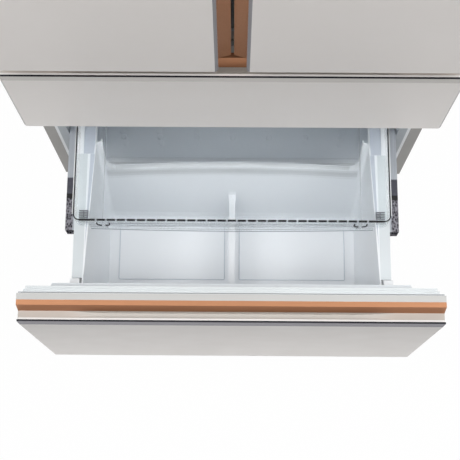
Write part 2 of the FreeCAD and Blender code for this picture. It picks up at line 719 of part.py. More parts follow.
def drawer_liner(length, height, opening, top):
    """Inner plate of a drawer front with its raised dyke, drafted to enter the opening."""
    half = LINER_X - DYKE_AIR
    low = opening[0] + DYKE_UNDER_OPENING - top
    high = opening[1] - DYKE_UNDER_OPENING - top
    outer = (-half, half, low, high)
    tip = (-half + DYKE_DRAFT, half - DYKE_DRAFT, low + DYKE_DRAFT, high - DYKE_DRAFT)
    dyke = upright_loft(outer, tip, GASKET_FRONT, GASKET_FRONT + DYKE_DEPTH)
    return fuse([inner_plate(length, height), dyke])


def door_liner(length, height):
    """Inner plate of a French door with a raised frame that holds the door bins."""
    half = DOOR_H / 2 - max(OPENING_OVER_BOTTOM, DOOR_OPENING_UNDER_TOP) - DYKE_UNDER_OPENING
    low = -(LINER_X - DYKE_AIR - PANEL_EDGE_X)
    high = -(DOOR_DYKE_CENTRE - PANEL_EDGE_X)
    back = GASKET_FRONT + DOOR_DYKE_DEPTH
    outer = (-half, half, low, high)
    tip = (-half + DYKE_DRAFT, half - DYKE_DRAFT, low + DYKE_DRAFT, high - DYKE_DRAFT)
    dyke = upright_loft(outer, tip, GASKET_FRONT, back)
    well = box(-half + DYKE_WALL, half - DYKE_WALL, GASKET_FRONT, back + DYKE_WALL,
               low + DYKE_WALL, high - DYKE_WALL)
    return fuse([inner_plate(length, height), dyke.cut(well)])


def raised(shape, z):
    return shape.translated(V(0, 0, z))


def to_left_door(shape):
    """Turns a front's handle edge upright, at the centre line, for the left door."""
    turned = shape.copy()
    turned.rotate(V(0, 0, 0), V(0, 1, 0), 90)
    return turned.translated(V(-PANEL_EDGE_X, 0, DOOR_MID))


def door_body():
    """Left door core with the bores of its hinge pins at the top and bottom."""
    core = to_left_door(front_body(DOOR_H, HALF - PANEL_EDGE_X))
    bores = []
    reach = PIN_LENGTH + 2.0
    for z in (DOOR_BOTTOM - SHEET, DOOR_TOP - reach):
        bores.append(cylinder(PIN_R + PIN_PLAY, reach + SHEET, V(-HINGE_X, HINGE_DEPTH, z), V(0, 0, 1)))
    return cut_all(core, bores)


def door_bins():
    """Left door's shelves: open bins hung between the sides of the dyke."""
    wall = 3.0
    drop = 6.0
    x0 = -(LINER_X - DYKE_AIR - DYKE_WALL)
    x1 = -(DOOR_DYKE_CENTRE + DYKE_WALL)
    y0 = GASKET_FRONT
    y1 = y0 + DOOR_BIN_DEPTH
    bins = []
    for z in DOOR_BIN_HEIGHTS:
        outer = rounded_plate(x0, x1, y0 - DOOR_BIN_DEPTH, y1, z, z + DOOR_BIN_H, DOOR_BIN_ROUND)
        inner = rounded_plate(x0 + wall, x1 - wall, y0 - DOOR_BIN_DEPTH, y1 - wall, z + wall,
                              z + DOOR_BIN_H * 2, DOOR_BIN_ROUND - wall)
        front_half = box(x0 - wall, x1 + wall, y0, y1 + wall, z, z + DOOR_BIN_H)
        back_wall = box(x0, x1, y0, y0 + wall, z, z + DOOR_BIN_H)
        lip = rounded_plate(x0, x1, y0 - DOOR_BIN_DEPTH, y1, z + DOOR_BIN_H - drop, z + DOOR_BIN_H,
                            DOOR_BIN_ROUND)
        shell = fuse([outer.cut(inner).common(front_half), back_wall])
        bins.append(shell.common(fuse([outer, lip])))
    return Part.makeCompound(bins)


def flipper_mullion():
    """Folding bar between the doors, drawn folded on the left door, with its end pins."""
    lap = 8.0
    end_gap = 16.0
    x0 = -FLIPPER_PIVOT_X - lap
    y0 = FACE + FLIPPER_PIVOT_DEPTH - lap
    low = FRESH_OPENING[0] + end_gap
    high = FRESH_OPENING[1] - end_gap
    bar = rounded_plate(x0, x0 + FLIPPER_T, y0, y0 + FLIPPER_W, low, high, lap / 2)
    pins = []
    pin_reach = 10.0
    for z in (low - pin_reach, high):
        pins.append(cylinder(FLIPPER_PIN_R, pin_reach, V(-FLIPPER_PIVOT_X, FACE + FLIPPER_PIVOT_DEPTH, z),
                             V(0, 0, 1)))
    return fuse([bar] + pins)


def flipper_lugs():
    """Ears of the left door's liner that carry the folding mullion's pins."""
    lug_t = 6.0
    end_gap = 16.0
    air = 0.4
    margin = 8.0
    lugs = []
    for z in (FRESH_OPENING[0] + end_gap - air - lug_t, FRESH_OPENING[1] - end_gap + air):
        pivot_y = FACE + FLIPPER_PIVOT_DEPTH
        ear = box(-DOOR_DYKE_CENTRE - DYKE_WALL / 2, -FLIPPER_PIVOT_X + margin,
                  pivot_y - margin, pivot_y + margin, z, z + lug_t)
        hole = cylinder(FLIPPER_PIN_R + PIN_PLAY, lug_t * 3, V(-FLIPPER_PIVOT_X, pivot_y, z - lug_t),
                        V(0, 0, 1))
        lugs.append(ear.cut(hole))
    return lugs


def door_hinges():
    """Top plates on the case and centre brackets on the upper mullion, each with its pin."""
    edge = 4.0
    inner = HINGE_X - HINGE_ARM
    outer = HALF - edge
    nose = PIN_R + 5.0
    plate_back = FACE + HINGE_REACH
    top = box(inner, outer, HINGE_DEPTH, plate_back, CASE_TOP, CASE_TOP + HINGE_T)
    top_nose = cylinder(nose, HINGE_T, V(HINGE_X, HINGE_DEPTH, CASE_TOP), V(0, 0, 1))
    top_pin = cylinder(PIN_R, CASE_TOP - DOOR_TOP + PIN_LENGTH,
                       V(HINGE_X, HINGE_DEPTH, DOOR_TOP - PIN_LENGTH), V(0, 0, 1))
    arm_taper = prism_z([(inner, FACE), (outer + edge, FACE), (outer + edge, 0), (HINGE_X - nose, 0),
                         (HINGE_X - nose, HINGE_DEPTH)], CASE_TOP, CASE_TOP + HINGE_T)
    arm = top.common(fuse([arm_taper, box(inner, outer, FACE, plate_back, CASE_TOP, CASE_TOP + HINGE_T)]))
    top_hinge = fuse([arm, top_nose, top_pin])
    shelf_z = MIDDLE_TOP + CAP_H + (FRONT_GAP - CAP_H - HINGE_T) / 2
    tab_t = 3.0
    tab_h = 13.0
    tongue = box(HINGE_X - nose, outer, HINGE_DEPTH, FACE, shelf_z, shelf_z + HINGE_T)
    round_end = cylinder(outer - HINGE_X, HINGE_T, V(HINGE_X, HINGE_DEPTH, shelf_z), V(0, 0, 1))
    tab_mid = shelf_z + HINGE_T / 2
    tab = box(inner, outer, FACE - tab_t, FACE, tab_mid - tab_h / 2, tab_mid + tab_h / 2)
    pin = cylinder(PIN_R, DOOR_BOTTOM - shelf_z + PIN_LENGTH, V(HINGE_X, HINGE_DEPTH, shelf_z), V(0, 0, 1))
    centre_hinge = fuse([tongue, round_end, tab, pin])
    return Part.makeCompound([top_hinge, mirrored(top_hinge), centre_hinge, mirrored(centre_hinge)])


def hinge_covers():
    """Moulded covers over the top hinges."""
    wall = COVER_T
    height = COVER_H
    slope = COVER_SLOPE
    back = FACE + HINGE_REACH + COVER_LAP
    front = HINGE_DEPTH - COVER_NOSE
    x0 = HINGE_X - HINGE_ARM - wall - COVER_LAP
    x1 = HALF
    outer = tapered((x0, x1, front, back), (x0 + slope, x1, front + slope, back - slope),
                    CASE_TOP, CASE_TOP + height, slope)
    inner = tapered((x0 + wall, x1 - wall, front + wall, back - wall),
                    (x0 + slope + wall, x1 - wall, front + slope + wall, back - slope - wall),
                    CASE_TOP - wall, CASE_TOP + height - wall, slope - wall)
    return pair(outer.cut(inner))


# Drawers


def bin_tub(rim, floor, d, back_extra):
    """Solid of a drawer bin, drafted on all sides, narrower at the back of its rim, and grown by d."""
    bottom = (-BIN_BOTTOM_HALF, BIN_BOTTOM_HALF, BIN_FLOOR_FRONT, BIN_FLOOR_BACK + back_extra)
    front = BIN_FRONT - d
    back = BIN_BACK + back_extra + d
    wide = BIN_TOP_HALF + d
    narrow = BIN_REAR_HALF + d
    top = [V(wide, front, rim), V(narrow, back, rim), V(-narrow, back, rim), V(-wide, front, rim)]
    wires = [round_rect(*grown(bottom, d), floor - d, BIN_ROUND + d), round_loop(top, BIN_ROUND + d)]
    return Part.makeLoft(wires, True, True)


def bin_shell(rim, floor):
    """Bin with its walls, side flanges, the strip along each flange and the ribs behind it."""
    inner = bin_tub(rim, floor, 0.0, 0.0)
    tub = bin_tub(rim, floor, BIN_WALL, 0.0)
    outer_x = BIN_TOP_HALF + RIM_W
    flange_top = rim - RIM_LEDGE
    tail = BIN_BACK + RIM_TAIL
    rib_in = BIN_REAR_HALF + BIN_WALL
    flange = pair(box(BIN_REAR_HALF, outer_x, RIM_START, tail, flange_top - RIM_T, flange_top))
    ledge = pair(box(BIN_REAR_HALF, outer_x, RIM_START, RIM_LEDGE_END, flange_top, rim))
    ribs = []
    for x0, x1 in ((rib_in, rib_in + RIM_RIB_INNER_W), (outer_x - RIM_RIB_OUTER_W, outer_x)):
        ribs.append(pair(box(x0, x1, RIM_LEDGE_END, tail, flange_top, flange_top + RIM_RIB)))
    clear_above = bin_tub(rim + RIM_LEDGE, floor, 0.0, 0.0)
    return fuse([tub, flange, ledge] + ribs).cut(Part.makeCompound([inner, clear_above]))


def cut_outline(d, y, top):
    """U outline of the cut in the back wall, grown by d, as a face at depth y."""
    half = CUT_HALF + d
    low = CUT_BOTTOM - d
    r = CUT_ROUND + d
    k = r * (1 - math.sqrt(0.5))
    flat = half - r
    edges = [
        Part.LineSegment(V(-half, y, top), V(-half, y, low + r)).toShape(),
        Part.Arc(V(-half, y, low + r), V(-half + k, y, low + k), V(-flat, y, low)).toShape(),
        Part.Arc(V(-flat, y, low), V(0, y, low + CUT_BOW), V(flat, y, low)).toShape(),
        Part.Arc(V(flat, y, low), V(half - k, y, low + k), V(half, y, low + r)).toShape(),
        Part.LineSegment(V(half, y, low + r), V(half, y, top)).toShape(),
        Part.LineSegment(V(half, y, top), V(-half, y, top)).toShape(),
    ]
    return Part.Face(Part.Wire(edges))


def freezer_bin():
    """Deep freezer bin: U-cut back wall with a bead round the cut, and raised floor panels."""
    shell = bin_shell(BIN_RIM, BIN_FLOOR)
    reach = BIN_BACK - BIN_FLOOR_BACK
    start = BIN_FLOOR_BACK
    length = V(0, 2 * reach, 0)
    high = BIN_RIM + 2 * RIM_LEDGE
    hole = cut_outline(0.0, start, high).extrude(length)
    band = cut_outline(BIN_WALL, start, BIN_RIM - RIM_LEDGE).extrude(length).cut(hole)
    bead = band.common(bin_tub(BIN_RIM, BIN_FLOOR, BIN_WALL, BEAD)).cut(bin_tub(BIN_RIM, BIN_FLOOR, 0.0, 0.0))
    panels = []
    gap = DIVIDER_HEAD
    for x0, x1 in ((-EMBOSS_HALF, -gap), (gap, EMBOSS_HALF)):
        panels.append(box(x0, x1, EMBOSS_FRONT, EMBOSS_BACK, BIN_FLOOR - EMBOSS_H, BIN_FLOOR + EMBOSS_H))
    return fuse([shell.cut(hole), bead] + panels)


def freezer_divider():
    """Low divider across the bin, front to back, with a wider head at its rear top corner."""
    head_depth = 14.0
    head_h = 10.0
    top = BIN_FLOOR + DIVIDER_H
    plate = box(-DIVIDER_T / 2, DIVIDER_T / 2, BIN_FRONT, BIN_BACK, BIN_FLOOR, top)
    lean = (BIN_BACK - BIN_FLOOR_BACK) / (BIN_RIM - BIN_FLOOR)
    rear = BIN_FLOOR_BACK + lean * DIVIDER_H
    head = box(-DIVIDER_HEAD / 2, DIVIDER_HEAD / 2, rear - head_depth, BIN_BACK, top - head_h, top)
    return fuse([plate, head]).common(bin_tub(BIN_RIM, BIN_FLOOR, 0.0, 0.0))


def channel(web_x, open_x, half, lip_in):
    """C-section slide member: web, two flanges and two turned-in lips, as (x, z) points."""
    s = math.copysign(RAIL_T, open_x - web_x)
    t = RAIL_T
    return [(web_x, -half), (open_x, -half), (open_x, -half + lip_in), (open_x - s, -half + lip_in),
            (open_x - s, -half + t), (web_x + s, -half + t), (web_x + s, half - t), (open_x - s, half - t),
            (open_x - s, half - lip_in), (open_x, half - lip_in), (open_x, half), (web_x, half)]


def rail(points, z, y0, y1):
    return pair(prism_y([(x, z + dz) for x, dz in points], y0, y1))


def rail_sections():
    """Outer, intermediate and inner members, nested with ball clearance."""
    mid_half = RAIL_HALF - RAIL_LIP - RAIL_PLAY
    inner_half = mid_half - RAIL_LIP - RAIL_PLAY
    mid_web = LINER_X - RAIL_T - RAIL_NEST
    outer = channel(LINER_X, LINER_X - RAIL_OUT, RAIL_HALF, RAIL_LIP)
    middle = channel(mid_web, BRACKET_X + RAIL_GAP, mid_half, RAIL_LIP)
    inner = channel(BRACKET_X, BRACKET_X + RAIL_INNER_W, inner_half, RAIL_LIP)
    return outer, middle, inner


def outer_rails():
    section = rail_sections()[0]
    heights = (FREEZER_RAIL_Z, MIDDLE_RAIL_Z)
    return Part.makeCompound([rail(section, z, RAIL_FRONT, RAIL_FRONT + RAIL_LENGTH) for z in heights])


def slide_rails(z):
    return rail(rail_sections()[1], z, RAIL_FRONT, RAIL_FRONT + RAIL_LENGTH)


def inner_rails(z):
    return rail(rail_sections()[2], z, DYKE_BACK + BRACKET_T, RAIL_FRONT + RAIL_LENGTH)


def side_brackets(rim, rail_z):
    """Folded white brackets: foot on the front's dyke, web beside the rail, ledge under the bin's flange."""
    front = DYKE_BACK
    tail = 24.0
    heel = 60.0
    heel_h = 40.0
    block_w = 21.0
    block_inset = 8.0
    block_front = 14.0
    seam = 1.0
    back = BIN_BACK + tail
    ledge_top = rim - RIM_LEDGE - RIM_T
    web_bottom = rail_z - RAIL_HALF
    ledge_in = BIN_TOP_HALF + BIN_WALL + 4.0
    foot_in = BIN_TOP_HALF
    web = prism_x([(front, web_bottom), (back - heel, web_bottom), (back, web_bottom + heel_h),
                   (back, ledge_top), (front, ledge_top)], BRACKET_X - BRACKET_T, BRACKET_X)
    ledge = box(ledge_in, BRACKET_X, front, back, ledge_top - BRACKET_T, ledge_top)
    foot = box(foot_in, BRACKET_X, front, front + BRACKET_T, web_bottom, ledge_top)
    block_in = BIN_TOP_HALF + block_inset
    block = box(block_in, block_in + block_w, front + block_front, RIM_START - seam, ledge_top, rim)
    return pair(fuse([web, ledge, foot, block]))


def middle_bin():
    """Shallow bin of the middle drawer with a rib across its floor."""
    rib = 6.0
    shell = bin_shell(MIDDLE_BIN_RIM, MIDDLE_BIN_FLOOR)
    ribs = []
    for x in (-BIN_BOTTOM_HALF / 2, 0.0, BIN_BOTTOM_HALF / 2):
        ribs.append(box(x - rib, x + rib, EMBOSS_FRONT, EMBOSS_BACK, MIDDLE_BIN_FLOOR - EMBOSS_H,
                        MIDDLE_BIN_FLOOR + EMBOSS_H))
    return fuse([shell] + ribs)


def tray_face(y):
    """Front outline of the tray in (x, z): upright ends and a lower edge bowed down in the middle."""
    half = BIN_TOP_HALF - TRAY_FASCIA_AIR
    low = BIN_RIM - TRAY_HANG
    deep = low - TRAY_BOW
    edges = [
        Part.LineSegment(V(-half, y, TRAY_TOP), V(-half, y, low)).toShape(),
        Part.Arc(V(-half, y, low), V(0, y, deep), V(half, y, low)).toShape(),
        Part.LineSegment(V(half, y, low), V(half, y, TRAY_TOP)).toShape(),
        Part.LineSegment(V(half, y, TRAY_TOP), V(-half, y, TRAY_TOP)).toShape(),
    ]
    return Part.Face(Part.Wire(edges))


def freezer_tray():
    """Clear tray: wide rim on the bin's flanges, a narrower tub, and a bowed, notched fascia."""
    t = TRAY_T
    y0 = TRAY_FRONT
    y1 = TRAY_FRONT + TRAY_LENGTH
    step = BIN_RIM + TRAY_AIR
    upper = rounded_plate(-TRAY_HALF, TRAY_HALF, y0, y1, step, TRAY_TOP, TRAY_ROUND)
    upper_in = rounded_plate(-TRAY_HALF + t, TRAY_HALF - t, y0 + t, y1 - t, step + t, TRAY_TOP + t,
                             TRAY_ROUND - t)
    tub = rounded_plate(-TRAY_TUB_HALF, TRAY_TUB_HALF, y0 + t, y1 - t, TRAY_FLOOR, step + t, TRAY_ROUND)
    tub_in = rounded_plate(-TRAY_TUB_HALF + t, TRAY_TUB_HALF - t, y0 + 2 * t, y1 - 2 * t, TRAY_FLOOR + t,
                           step + 2 * t, TRAY_ROUND - t)
    shell = cut_all(fuse([upper, tub]), [upper_in, tub_in])
    fascia = tray_face(y0).extrude(V(0, t, 0))
    notches = []
    count = int(2 * (TRAY_HALF - TRAY_NOTCH_END) / TRAY_NOTCH_PITCH)
    for i in range(count):
        x = (i - (count - 1) / 2) * TRAY_NOTCH_PITCH
        notches.append(box(x - TRAY_NOTCH_W / 2, x + TRAY_NOTCH_W / 2, y0 - t, y0 + t / 2,
                           TRAY_TOP - t * 2, TRAY_TOP + t))
    return fuse([shell, fascia]).cut(Part.makeCompound(notches))


# Fresh food compartment


def shelf_frames():
    """Moulded frames round the glass shelves, resting on the liner's ledges."""
    air = 1.0
    half = LINER_X - air
    back = FACE + FRESH_DEPTH - LINER_ROUND
    frames = []
    for z in SHELF_HEIGHTS:
        ring = rounded_plate(-half, half, SHELF_FRONT, back, z - SHELF_T, z, SHELF_EDGE / 2)
        window = box(-half + SHELF_EDGE, half - SHELF_EDGE, SHELF_FRONT + SHELF_EDGE, back - SHELF_EDGE,
                     z - 2 * SHELF_T, z + SHELF_T)
        rebate = box(-half + SHELF_EDGE / 2, half - SHELF_EDGE / 2, SHELF_FRONT + SHELF_EDGE / 2,
                     back - SHELF_EDGE / 2, z - GLASS_T, z + SHELF_T)
        frames.append(cut_all(ring, [window, rebate]))
    return Part.makeCompound(frames)


def glass_shelves():
    air = 1.0
    half = LINER_X - air
    back = FACE + FRESH_DEPTH - LINER_ROUND
    edge = SHELF_EDGE / 2
    panes = []
    for z in SHELF_HEIGHTS:
        panes.append(box(-half + edge, half - edge, SHELF_FRONT + edge, back - edge, z - GLASS_T, z))
    return Part.makeCompound(panes)


def crispers():
    """Two clear drawers on the compartment floor with a scooped front edge."""
    t = CRISPER_T
    gap = 6.0
    front = SHELF_FRONT + 8.0
    back = FACE + FRESH_DEPTH - 40.0
    low = FRESH_OPENING[0]
    high = low + CRISPER_H
    x0 = gap / 2
    x1 = LINER_X - LINER_ROUND - gap
    draft = 8.0
    outer = tapered((x0 + draft, x1 - draft, front + draft, back - draft), (x0, x1, front, back), low, high,
                    CRISPER_ROUND)
    inner = tapered((x0 + draft + t, x1 - draft - t, front + draft + t, back - draft - t),
                    (x0 + t, x1 - t, front + t, back - t), low + t, high, CRISPER_ROUND - t)
    pull = box(x0 + CRISPER_PULL_INSET, x1 - CRISPER_PULL_INSET, front - CRISPER_PULL, front + t,
               high - CRISPER_PULL_H, high)
    scoop = box(x0 + CRISPER_PULL_INSET + t, x1 - CRISPER_PULL_INSET - t, front - CRISPER_PULL + t, front + t,
                high - CRISPER_PULL_H - t, high - t)
    drawer = fuse([outer.cut(inner), pull.cut(scoop)])
    return pair(drawer)


# Cooling machinery


def compressor():
    """Hermetic compressor: two pressed half shells with a welded seam, a base plate and stub tubes."""
    at = V(COMPRESSOR_X, MACHINE_MID, CASE_BOTTOM + MOUNT_H)
    plate_t = 3.0
    r = COMPRESSOR_R
    h = COMPRESSOR_H
    round_r = COMPRESSOR_ROUND
    pot = cylinder(r, h, at + V(0, 0, plate_t), V(0, 0, 1))
    pot = pot.makeFillet(round_r, [e for e in pot.Edges if e.Closed])
    seam = cylinder(r + 3.0, 5.0, at + V(0, 0, plate_t + h * 0.55), V(0, 0, 1))
    reach = r + 16.0
    plate = rounded_plate(at.x - reach, at.x + reach, at.y - r * 0.9, at.y + r * 0.9,
                          at.z, at.z + plate_t, MOUNT_R)
    foot_ring = cylinder(r * 0.7, plate_t + round_r, at, V(0, 0, 1))
    box_w = 34.0
    terminal = box(at.x + r - 12.0, at.x + r + 14.0, at.y - box_w / 2, at.y + box_w / 2,
                   at.z + h * 0.3, at.z + h * 0.5)
    stubs = []
    for dy in (-30.0, 30.0):
        stubs.append(cylinder(TUBE_R, 46.0, at + V(r - 26.0, dy, h * 0.75), V(1, 0, 0)))
    return fuse([pot, seam, plate, foot_ring, terminal] + stubs)


def compressor_mounts():
    """Rubber grommets between the compressor's base plate and the deck."""
    mounts = []
    for sx in (-1, 1):
        for sy in (-1, 1):
            at = V(COMPRESSOR_X + sx * (COMPRESSOR_R - 2.0),
                   MACHINE_MID + sy * (COMPRESSOR_R * 0.9 - MOUNT_R), CASE_BOTTOM)
            mounts.append(Part.makeCone(MOUNT_R, MOUNT_R * 0.8, MOUNT_H, at))
    return Part.makeCompound(mounts)


def finned_coil(x0, x1, ys, zs, fin_count, foot_z):
    """Straight tubes through a row of fins, with two end plates that stand on foot_z."""
    y_low = min(ys) - FIN_MARGIN
    y_high = max(ys) + FIN_MARGIN
    z_high = max(zs) + FIN_MARGIN
    tubes = [cylinder(TUBE_R, x1 - x0, V(x0, y, z), V(1, 0, 0)) for y in ys for z in zs]
    pitch = (x1 - x0) / (fin_count + 1)
    plates = [box(x0, x0 + 2 * FIN_T, y_low, y_high, foot_z, z_high),
              box(x1 - 2 * FIN_T, x1, y_low, y_high, foot_z, z_high)]
    for i in range(fin_count):
        x = x0 + (i + 1) * pitch
        plates.append(box(x, x + FIN_T, y_low, y_high, min(zs) - FIN_MARGIN, z_high))
    return fuse(tubes + plates)


def condenser():
    rows = range(CONDENSER_ROWS)
    ys = [MACHINE_MID + (i - (CONDENSER_ROWS - 1) / 2) * CONDENSER_PITCH_Y for i in rows]
    zs = [CASE_BOTTOM + CONDENSER_LOW + i * CONDENSER_PITCH_Z for i in rows]
    return finned_coil(CONDENSER_START, CONDENSER_END, ys, zs, CONDENSER_FINS, CASE_BOTTOM)


def drain_pan():
    """Shallow evaporation pan on the deck, under the condenser."""
    x0 = CONDENSER_START + PAN_AIR + 2 * FIN_T
    x1 = CONDENSER_END - PAN_AIR - 2 * FIN_T
    y0 = MACHINE_FRONT + PAN_WALL_AIR
    y1 = BACK - PAN_WALL_AIR
    outer = rounded_plate(x0, x1, y0, y1, CASE_BOTTOM, CASE_BOTTOM + PAN_H, PAN_ROUND)
    inner = rounded_plate(x0 + PAN_T, x1 - PAN_T, y0 + PAN_T, y1 - PAN_T, CASE_BOTTOM + PAN_T,
                          CASE_BOTTOM + PAN_H + PAN_T, PAN_ROUND - PAN_T)
    return outer.cut(inner)


def fan_wheel(radius, width):
    """Axial fan along Z: hub with a shaft bore and twisted blades."""
    blades = 5
    hub_r = radius * 0.28
    pitch = 32.0
    blade_t = 1.8
    hub = cylinder(hub_r, width, V(0, 0, 0), V(0, 0, 1))
    pieces = [hub]
    chord = radius * 0.75
    for i in range(blades):
        blade = box(hub_r * 0.8, radius, -chord / 2, chord / 2,
                    width / 2 - blade_t / 2, width / 2 + blade_t / 2)
        blade.rotate(V(0, 0, width / 2), V(1, 0, 0), pitch)
        blade.rotate(V(0, 0, 0), V(0, 0, 1), i * 360.0 / blades)
        pieces.append(blade)
    envelope = cylinder(radius, width, V(0, 0, 0), V(0, 0, 1))
    bore = cylinder(FAN_SHAFT_R + FAN_SHAFT_PLAY, width * 3, V(0, 0, -width), V(0, 0, 1))
    return fuse(pieces).common(envelope).cut(bore)


def condenser_fan_place():
    return V(FAN_X, MACHINE_MID, CASE_BOTTOM + FAN_HEIGHT)


def evap_fan_place():
    depth = FACE + FREEZER_DEPTH - EVAP_GAP + EVAP_COVER_T + EVAP_FAN_AIR
    return V(0, depth, FREEZER_OPENING[1] - EVAP_FAN_R - EVAP_FAN_UNDER)


def condenser_fan():
    wheel = fan_wheel(FAN_R, FAN_W)
    wheel.rotate(V(0, 0, 0), V(0, 1, 0), 90)
    return wheel.translated(condenser_fan_place())


def evaporator_fan():
    wheel = fan_wheel(EVAP_FAN_R, FAN_W)
    wheel.rotate(V(0, 0, 0), V(1, 0, 0), -90)
    return wheel.translated(evap_fan_place())


def fan_motors():
    """Motor, shaft and bracket of each fan: on the deck, and on the freezer's rear wall."""
    motor_r = 20.0
    motor_l = 26.0
    gap = 4.0
    at = condenser_fan_place()
    shaft = cylinder(FAN_SHAFT_R, FAN_W + gap, at + V(-gap, 0, 0), V(1, 0, 0))
    body = cylinder(motor_r, motor_l, at + V(-gap - motor_l, 0, 0), V(1, 0, 0))
    leg_w = 16.0
    post = box(at.x - gap - motor_l, at.x - gap - motor_l + 8.0, at.y - leg_w, at.y + leg_w,
               CASE_BOTTOM, at.z)
    low_motor = fuse([shaft, body, post])
    high = evap_fan_place()
    wall_y = FACE + FREEZER_DEPTH
    shaft = cylinder(FAN_SHAFT_R, FAN_W + gap, high, V(0, 1, 0))
    body = cylinder(motor_r, wall_y - high.y - FAN_W - gap, high + V(0, FAN_W + gap, 0), V(0, 1, 0))
    return Part.makeCompound([low_motor, fuse([shaft, body])])


def evaporator_cover():
    """Panel in front of the coil, on the hump, with a fan inlet ring of holes and return slots."""
    air = 1.0
    y0 = FACE + FREEZER_DEPTH - EVAP_GAP
    plate = box(-LINER_X + air, LINER_X - air, y0, y0 + EVAP_COVER_T, HUMP_H, FREEZER_OPENING[1] - air)
    corner = LINER_ROUND
    clip = [e for e in plate.Edges if abs(e.Vertexes[0].X - e.Vertexes[1].X) < EPS
            and abs(e.Vertexes[0].Z - e.Vertexes[1].Z) < EPS and e.Vertexes[0].Z > HUMP_H + EPS]
    plate = plate.makeFillet(corner, clip)
    fan = evap_fan_place()
    holes = []
    bars = 7
    bar_h = 6.0
    for i in range(bars):
        z = fan.z + (i - (bars - 1) / 2) * bar_h * 2
        half = math.sqrt(EVAP_FAN_R ** 2 - (z - fan.z) ** 2)
        holes.append(box(-half, half, y0 - EVAP_COVER_T, y0 + 2 * EVAP_COVER_T, z - bar_h / 2, z + bar_h / 2))
    slot_w = 60.0
    slot_low = 18.0
    slot_h = 8.0
    slots = int(2 * (LINER_X - slot_w / 2) / (slot_w * 1.5))
    for i in range(slots):
        x = (i - (slots - 1) / 2) * slot_w * 1.5
        holes.append(box(x - slot_w / 2, x + slot_w / 2, y0 - EVAP_COVER_T, y0 + 2 * EVAP_COVER_T,
                         HUMP_H + slot_low, HUMP_H + slot_low + slot_h))
    return plate.cut(Part.makeCompound(holes))


def evaporator_coil():
    cover_back = FACE + FREEZER_DEPTH - EVAP_GAP + EVAP_COVER_T
    y_mid = (cover_back + FACE + FREEZER_DEPTH) / 2
    ys = [y_mid - EVAP_PITCH_Y / 2, y_mid + EVAP_PITCH_Y / 2]
    zs = [HUMP_H + EVAP_LOW, HUMP_H + EVAP_LOW + EVAP_PITCH_Z]
    return finned_coil(EVAP_INSET - LINER_X, LINER_X - EVAP_INSET, ys, zs, EVAP_FINS, HUMP_H)


# Assembly


def place_all():
    """Every node, as (shape, travel at rest along -Y)."""
    door_w = HALF - PANEL_EDGE_X
    open_by = DRAWER_OPEN
    left_liner = fuse([to_left_door(door_liner(DOOR_H, door_w))] + flipper_lugs())
    left = {
        "panel": to_left_door(front_panel(DOOR_H, door_w)),
        "body": door_body(),
        "handle_strip": to_left_door(handle_strip(DOOR_H)),
        "gasket": to_left_door(gasket(DOOR_H, door_w, HINGE_FROM_EDGE + GASKET_UNDER_CAP)),
        "bins": door_bins(),
    }
    nodes = {
        "case_wrap": (case_wrap(), 0),
        "back_panel": (back_panel(), 0),
        "base_pan": (base_pan(), 0),
        "machine_cover": (machine_cover(), 0),
        "toe_grille": (toe_grille(), 0),
        "leveling_feet": (leveling_feet(), 0),
        "rear_rollers": (rear_rollers(), 0),
        "cabinet_foam": (cabinet_foam(), 0),
        "fresh_food_liner": (fresh_food_liner(), 0),
        "middle_liner": (middle_liner(), 0),
        "freezer_liner": (freezer_liner(), 0),
        "mullion_covers": (mullion_covers(), 0),
        "door_hinges": (door_hinges(), 0),
        "hinge_covers": (hinge_covers(), 0),
        "shelf_frames": (shelf_frames(), 0),
        "glass_shelves": (glass_shelves(), 0),
        "crispers": (crispers(), 0),
        "compressor": (compressor(), 0),
        "compressor_mounts": (compressor_mounts(), 0),
        "condenser": (condenser(), 0),
        "drain_pan": (drain_pan(), 0),
        "condenser_fan": (condenser_fan(), 0),
        "evaporator_fan": (evaporator_fan(), 0),
        "fan_motors": (fan_motors(), 0),
        "evaporator_cover": (evaporator_cover(), 0),
        "evaporator_coil": (evaporator_coil(), 0),
        "outer_rails": (outer_rails(), 0),
        "freezer_slide_rails": (slide_rails(FREEZER_RAIL_Z), open_by * RAIL_SHARE),
        "middle_slide_rails": (slide_rails(MIDDLE_RAIL_Z), 0),
        "freezer_bin": (freezer_bin(), open_by),
        "freezer_divider": (freezer_divider(), open_by),
        "freezer_tray": (freezer_tray(), open_by),
        "middle_bin": (middle_bin(), 0),
        "left_door_liner": (left_liner, 0),
        "right_door_liner": (mirrored(to_left_door(door_liner(DOOR_H, door_w))), 0),
        "flipper_mullion": (flipper_mullion(), 0),
    }
    drawers = (
        ("freezer", FREEZER_FRONT_H, FREEZER_TOP, FREEZER_OPENING, BIN_RIM, FREEZER_RAIL_Z, open_by),
        ("middle", MIDDLE_FRONT_H, MIDDLE_TOP, MIDDLE_OPENING, MIDDLE_BIN_RIM, MIDDLE_RAIL_Z, 0),
    )
    for name, height, top, opening, rim, rail_z, travel in drawers:
        nodes[name + "_front_panel"] = (raised(front_panel(WIDTH, height), top), travel)
        nodes[name + "_front_body"] = (raised(front_body(WIDTH, height), top), travel)
        nodes[name + "_handle_strip"] = (raised(handle_strip(WIDTH), top), travel)
        nodes[name + "_front_liner"] = (raised(drawer_liner(WIDTH, height, opening, top), top), travel)
        nodes[name + "_gasket"] = (raised(gasket(WIDTH, height, GASKET_INSET), top), travel)
        nodes[name + "_side_brackets"] = (side_brackets(rim, rail_z), travel)
        nodes[name + "_inner_rails"] = (inner_rails(rail_z), travel)
    for part, shape in left.items():
        nodes["left_door_" + part] = (shape, 0)
        nodes["right_door_" + part] = (mirrored(shape), 0)
    return nodes


def main():
    os.makedirs("parts", exist_ok=True)
    for name, (shape, travel) in place_all().items():
        shape.translated(V(0, FRONT_Y - travel, 0)).exportStep("parts/" + name + ".step")


main()
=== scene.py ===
import bmesh
import bpy
import json
import math
from mathutils import Matrix, Vector


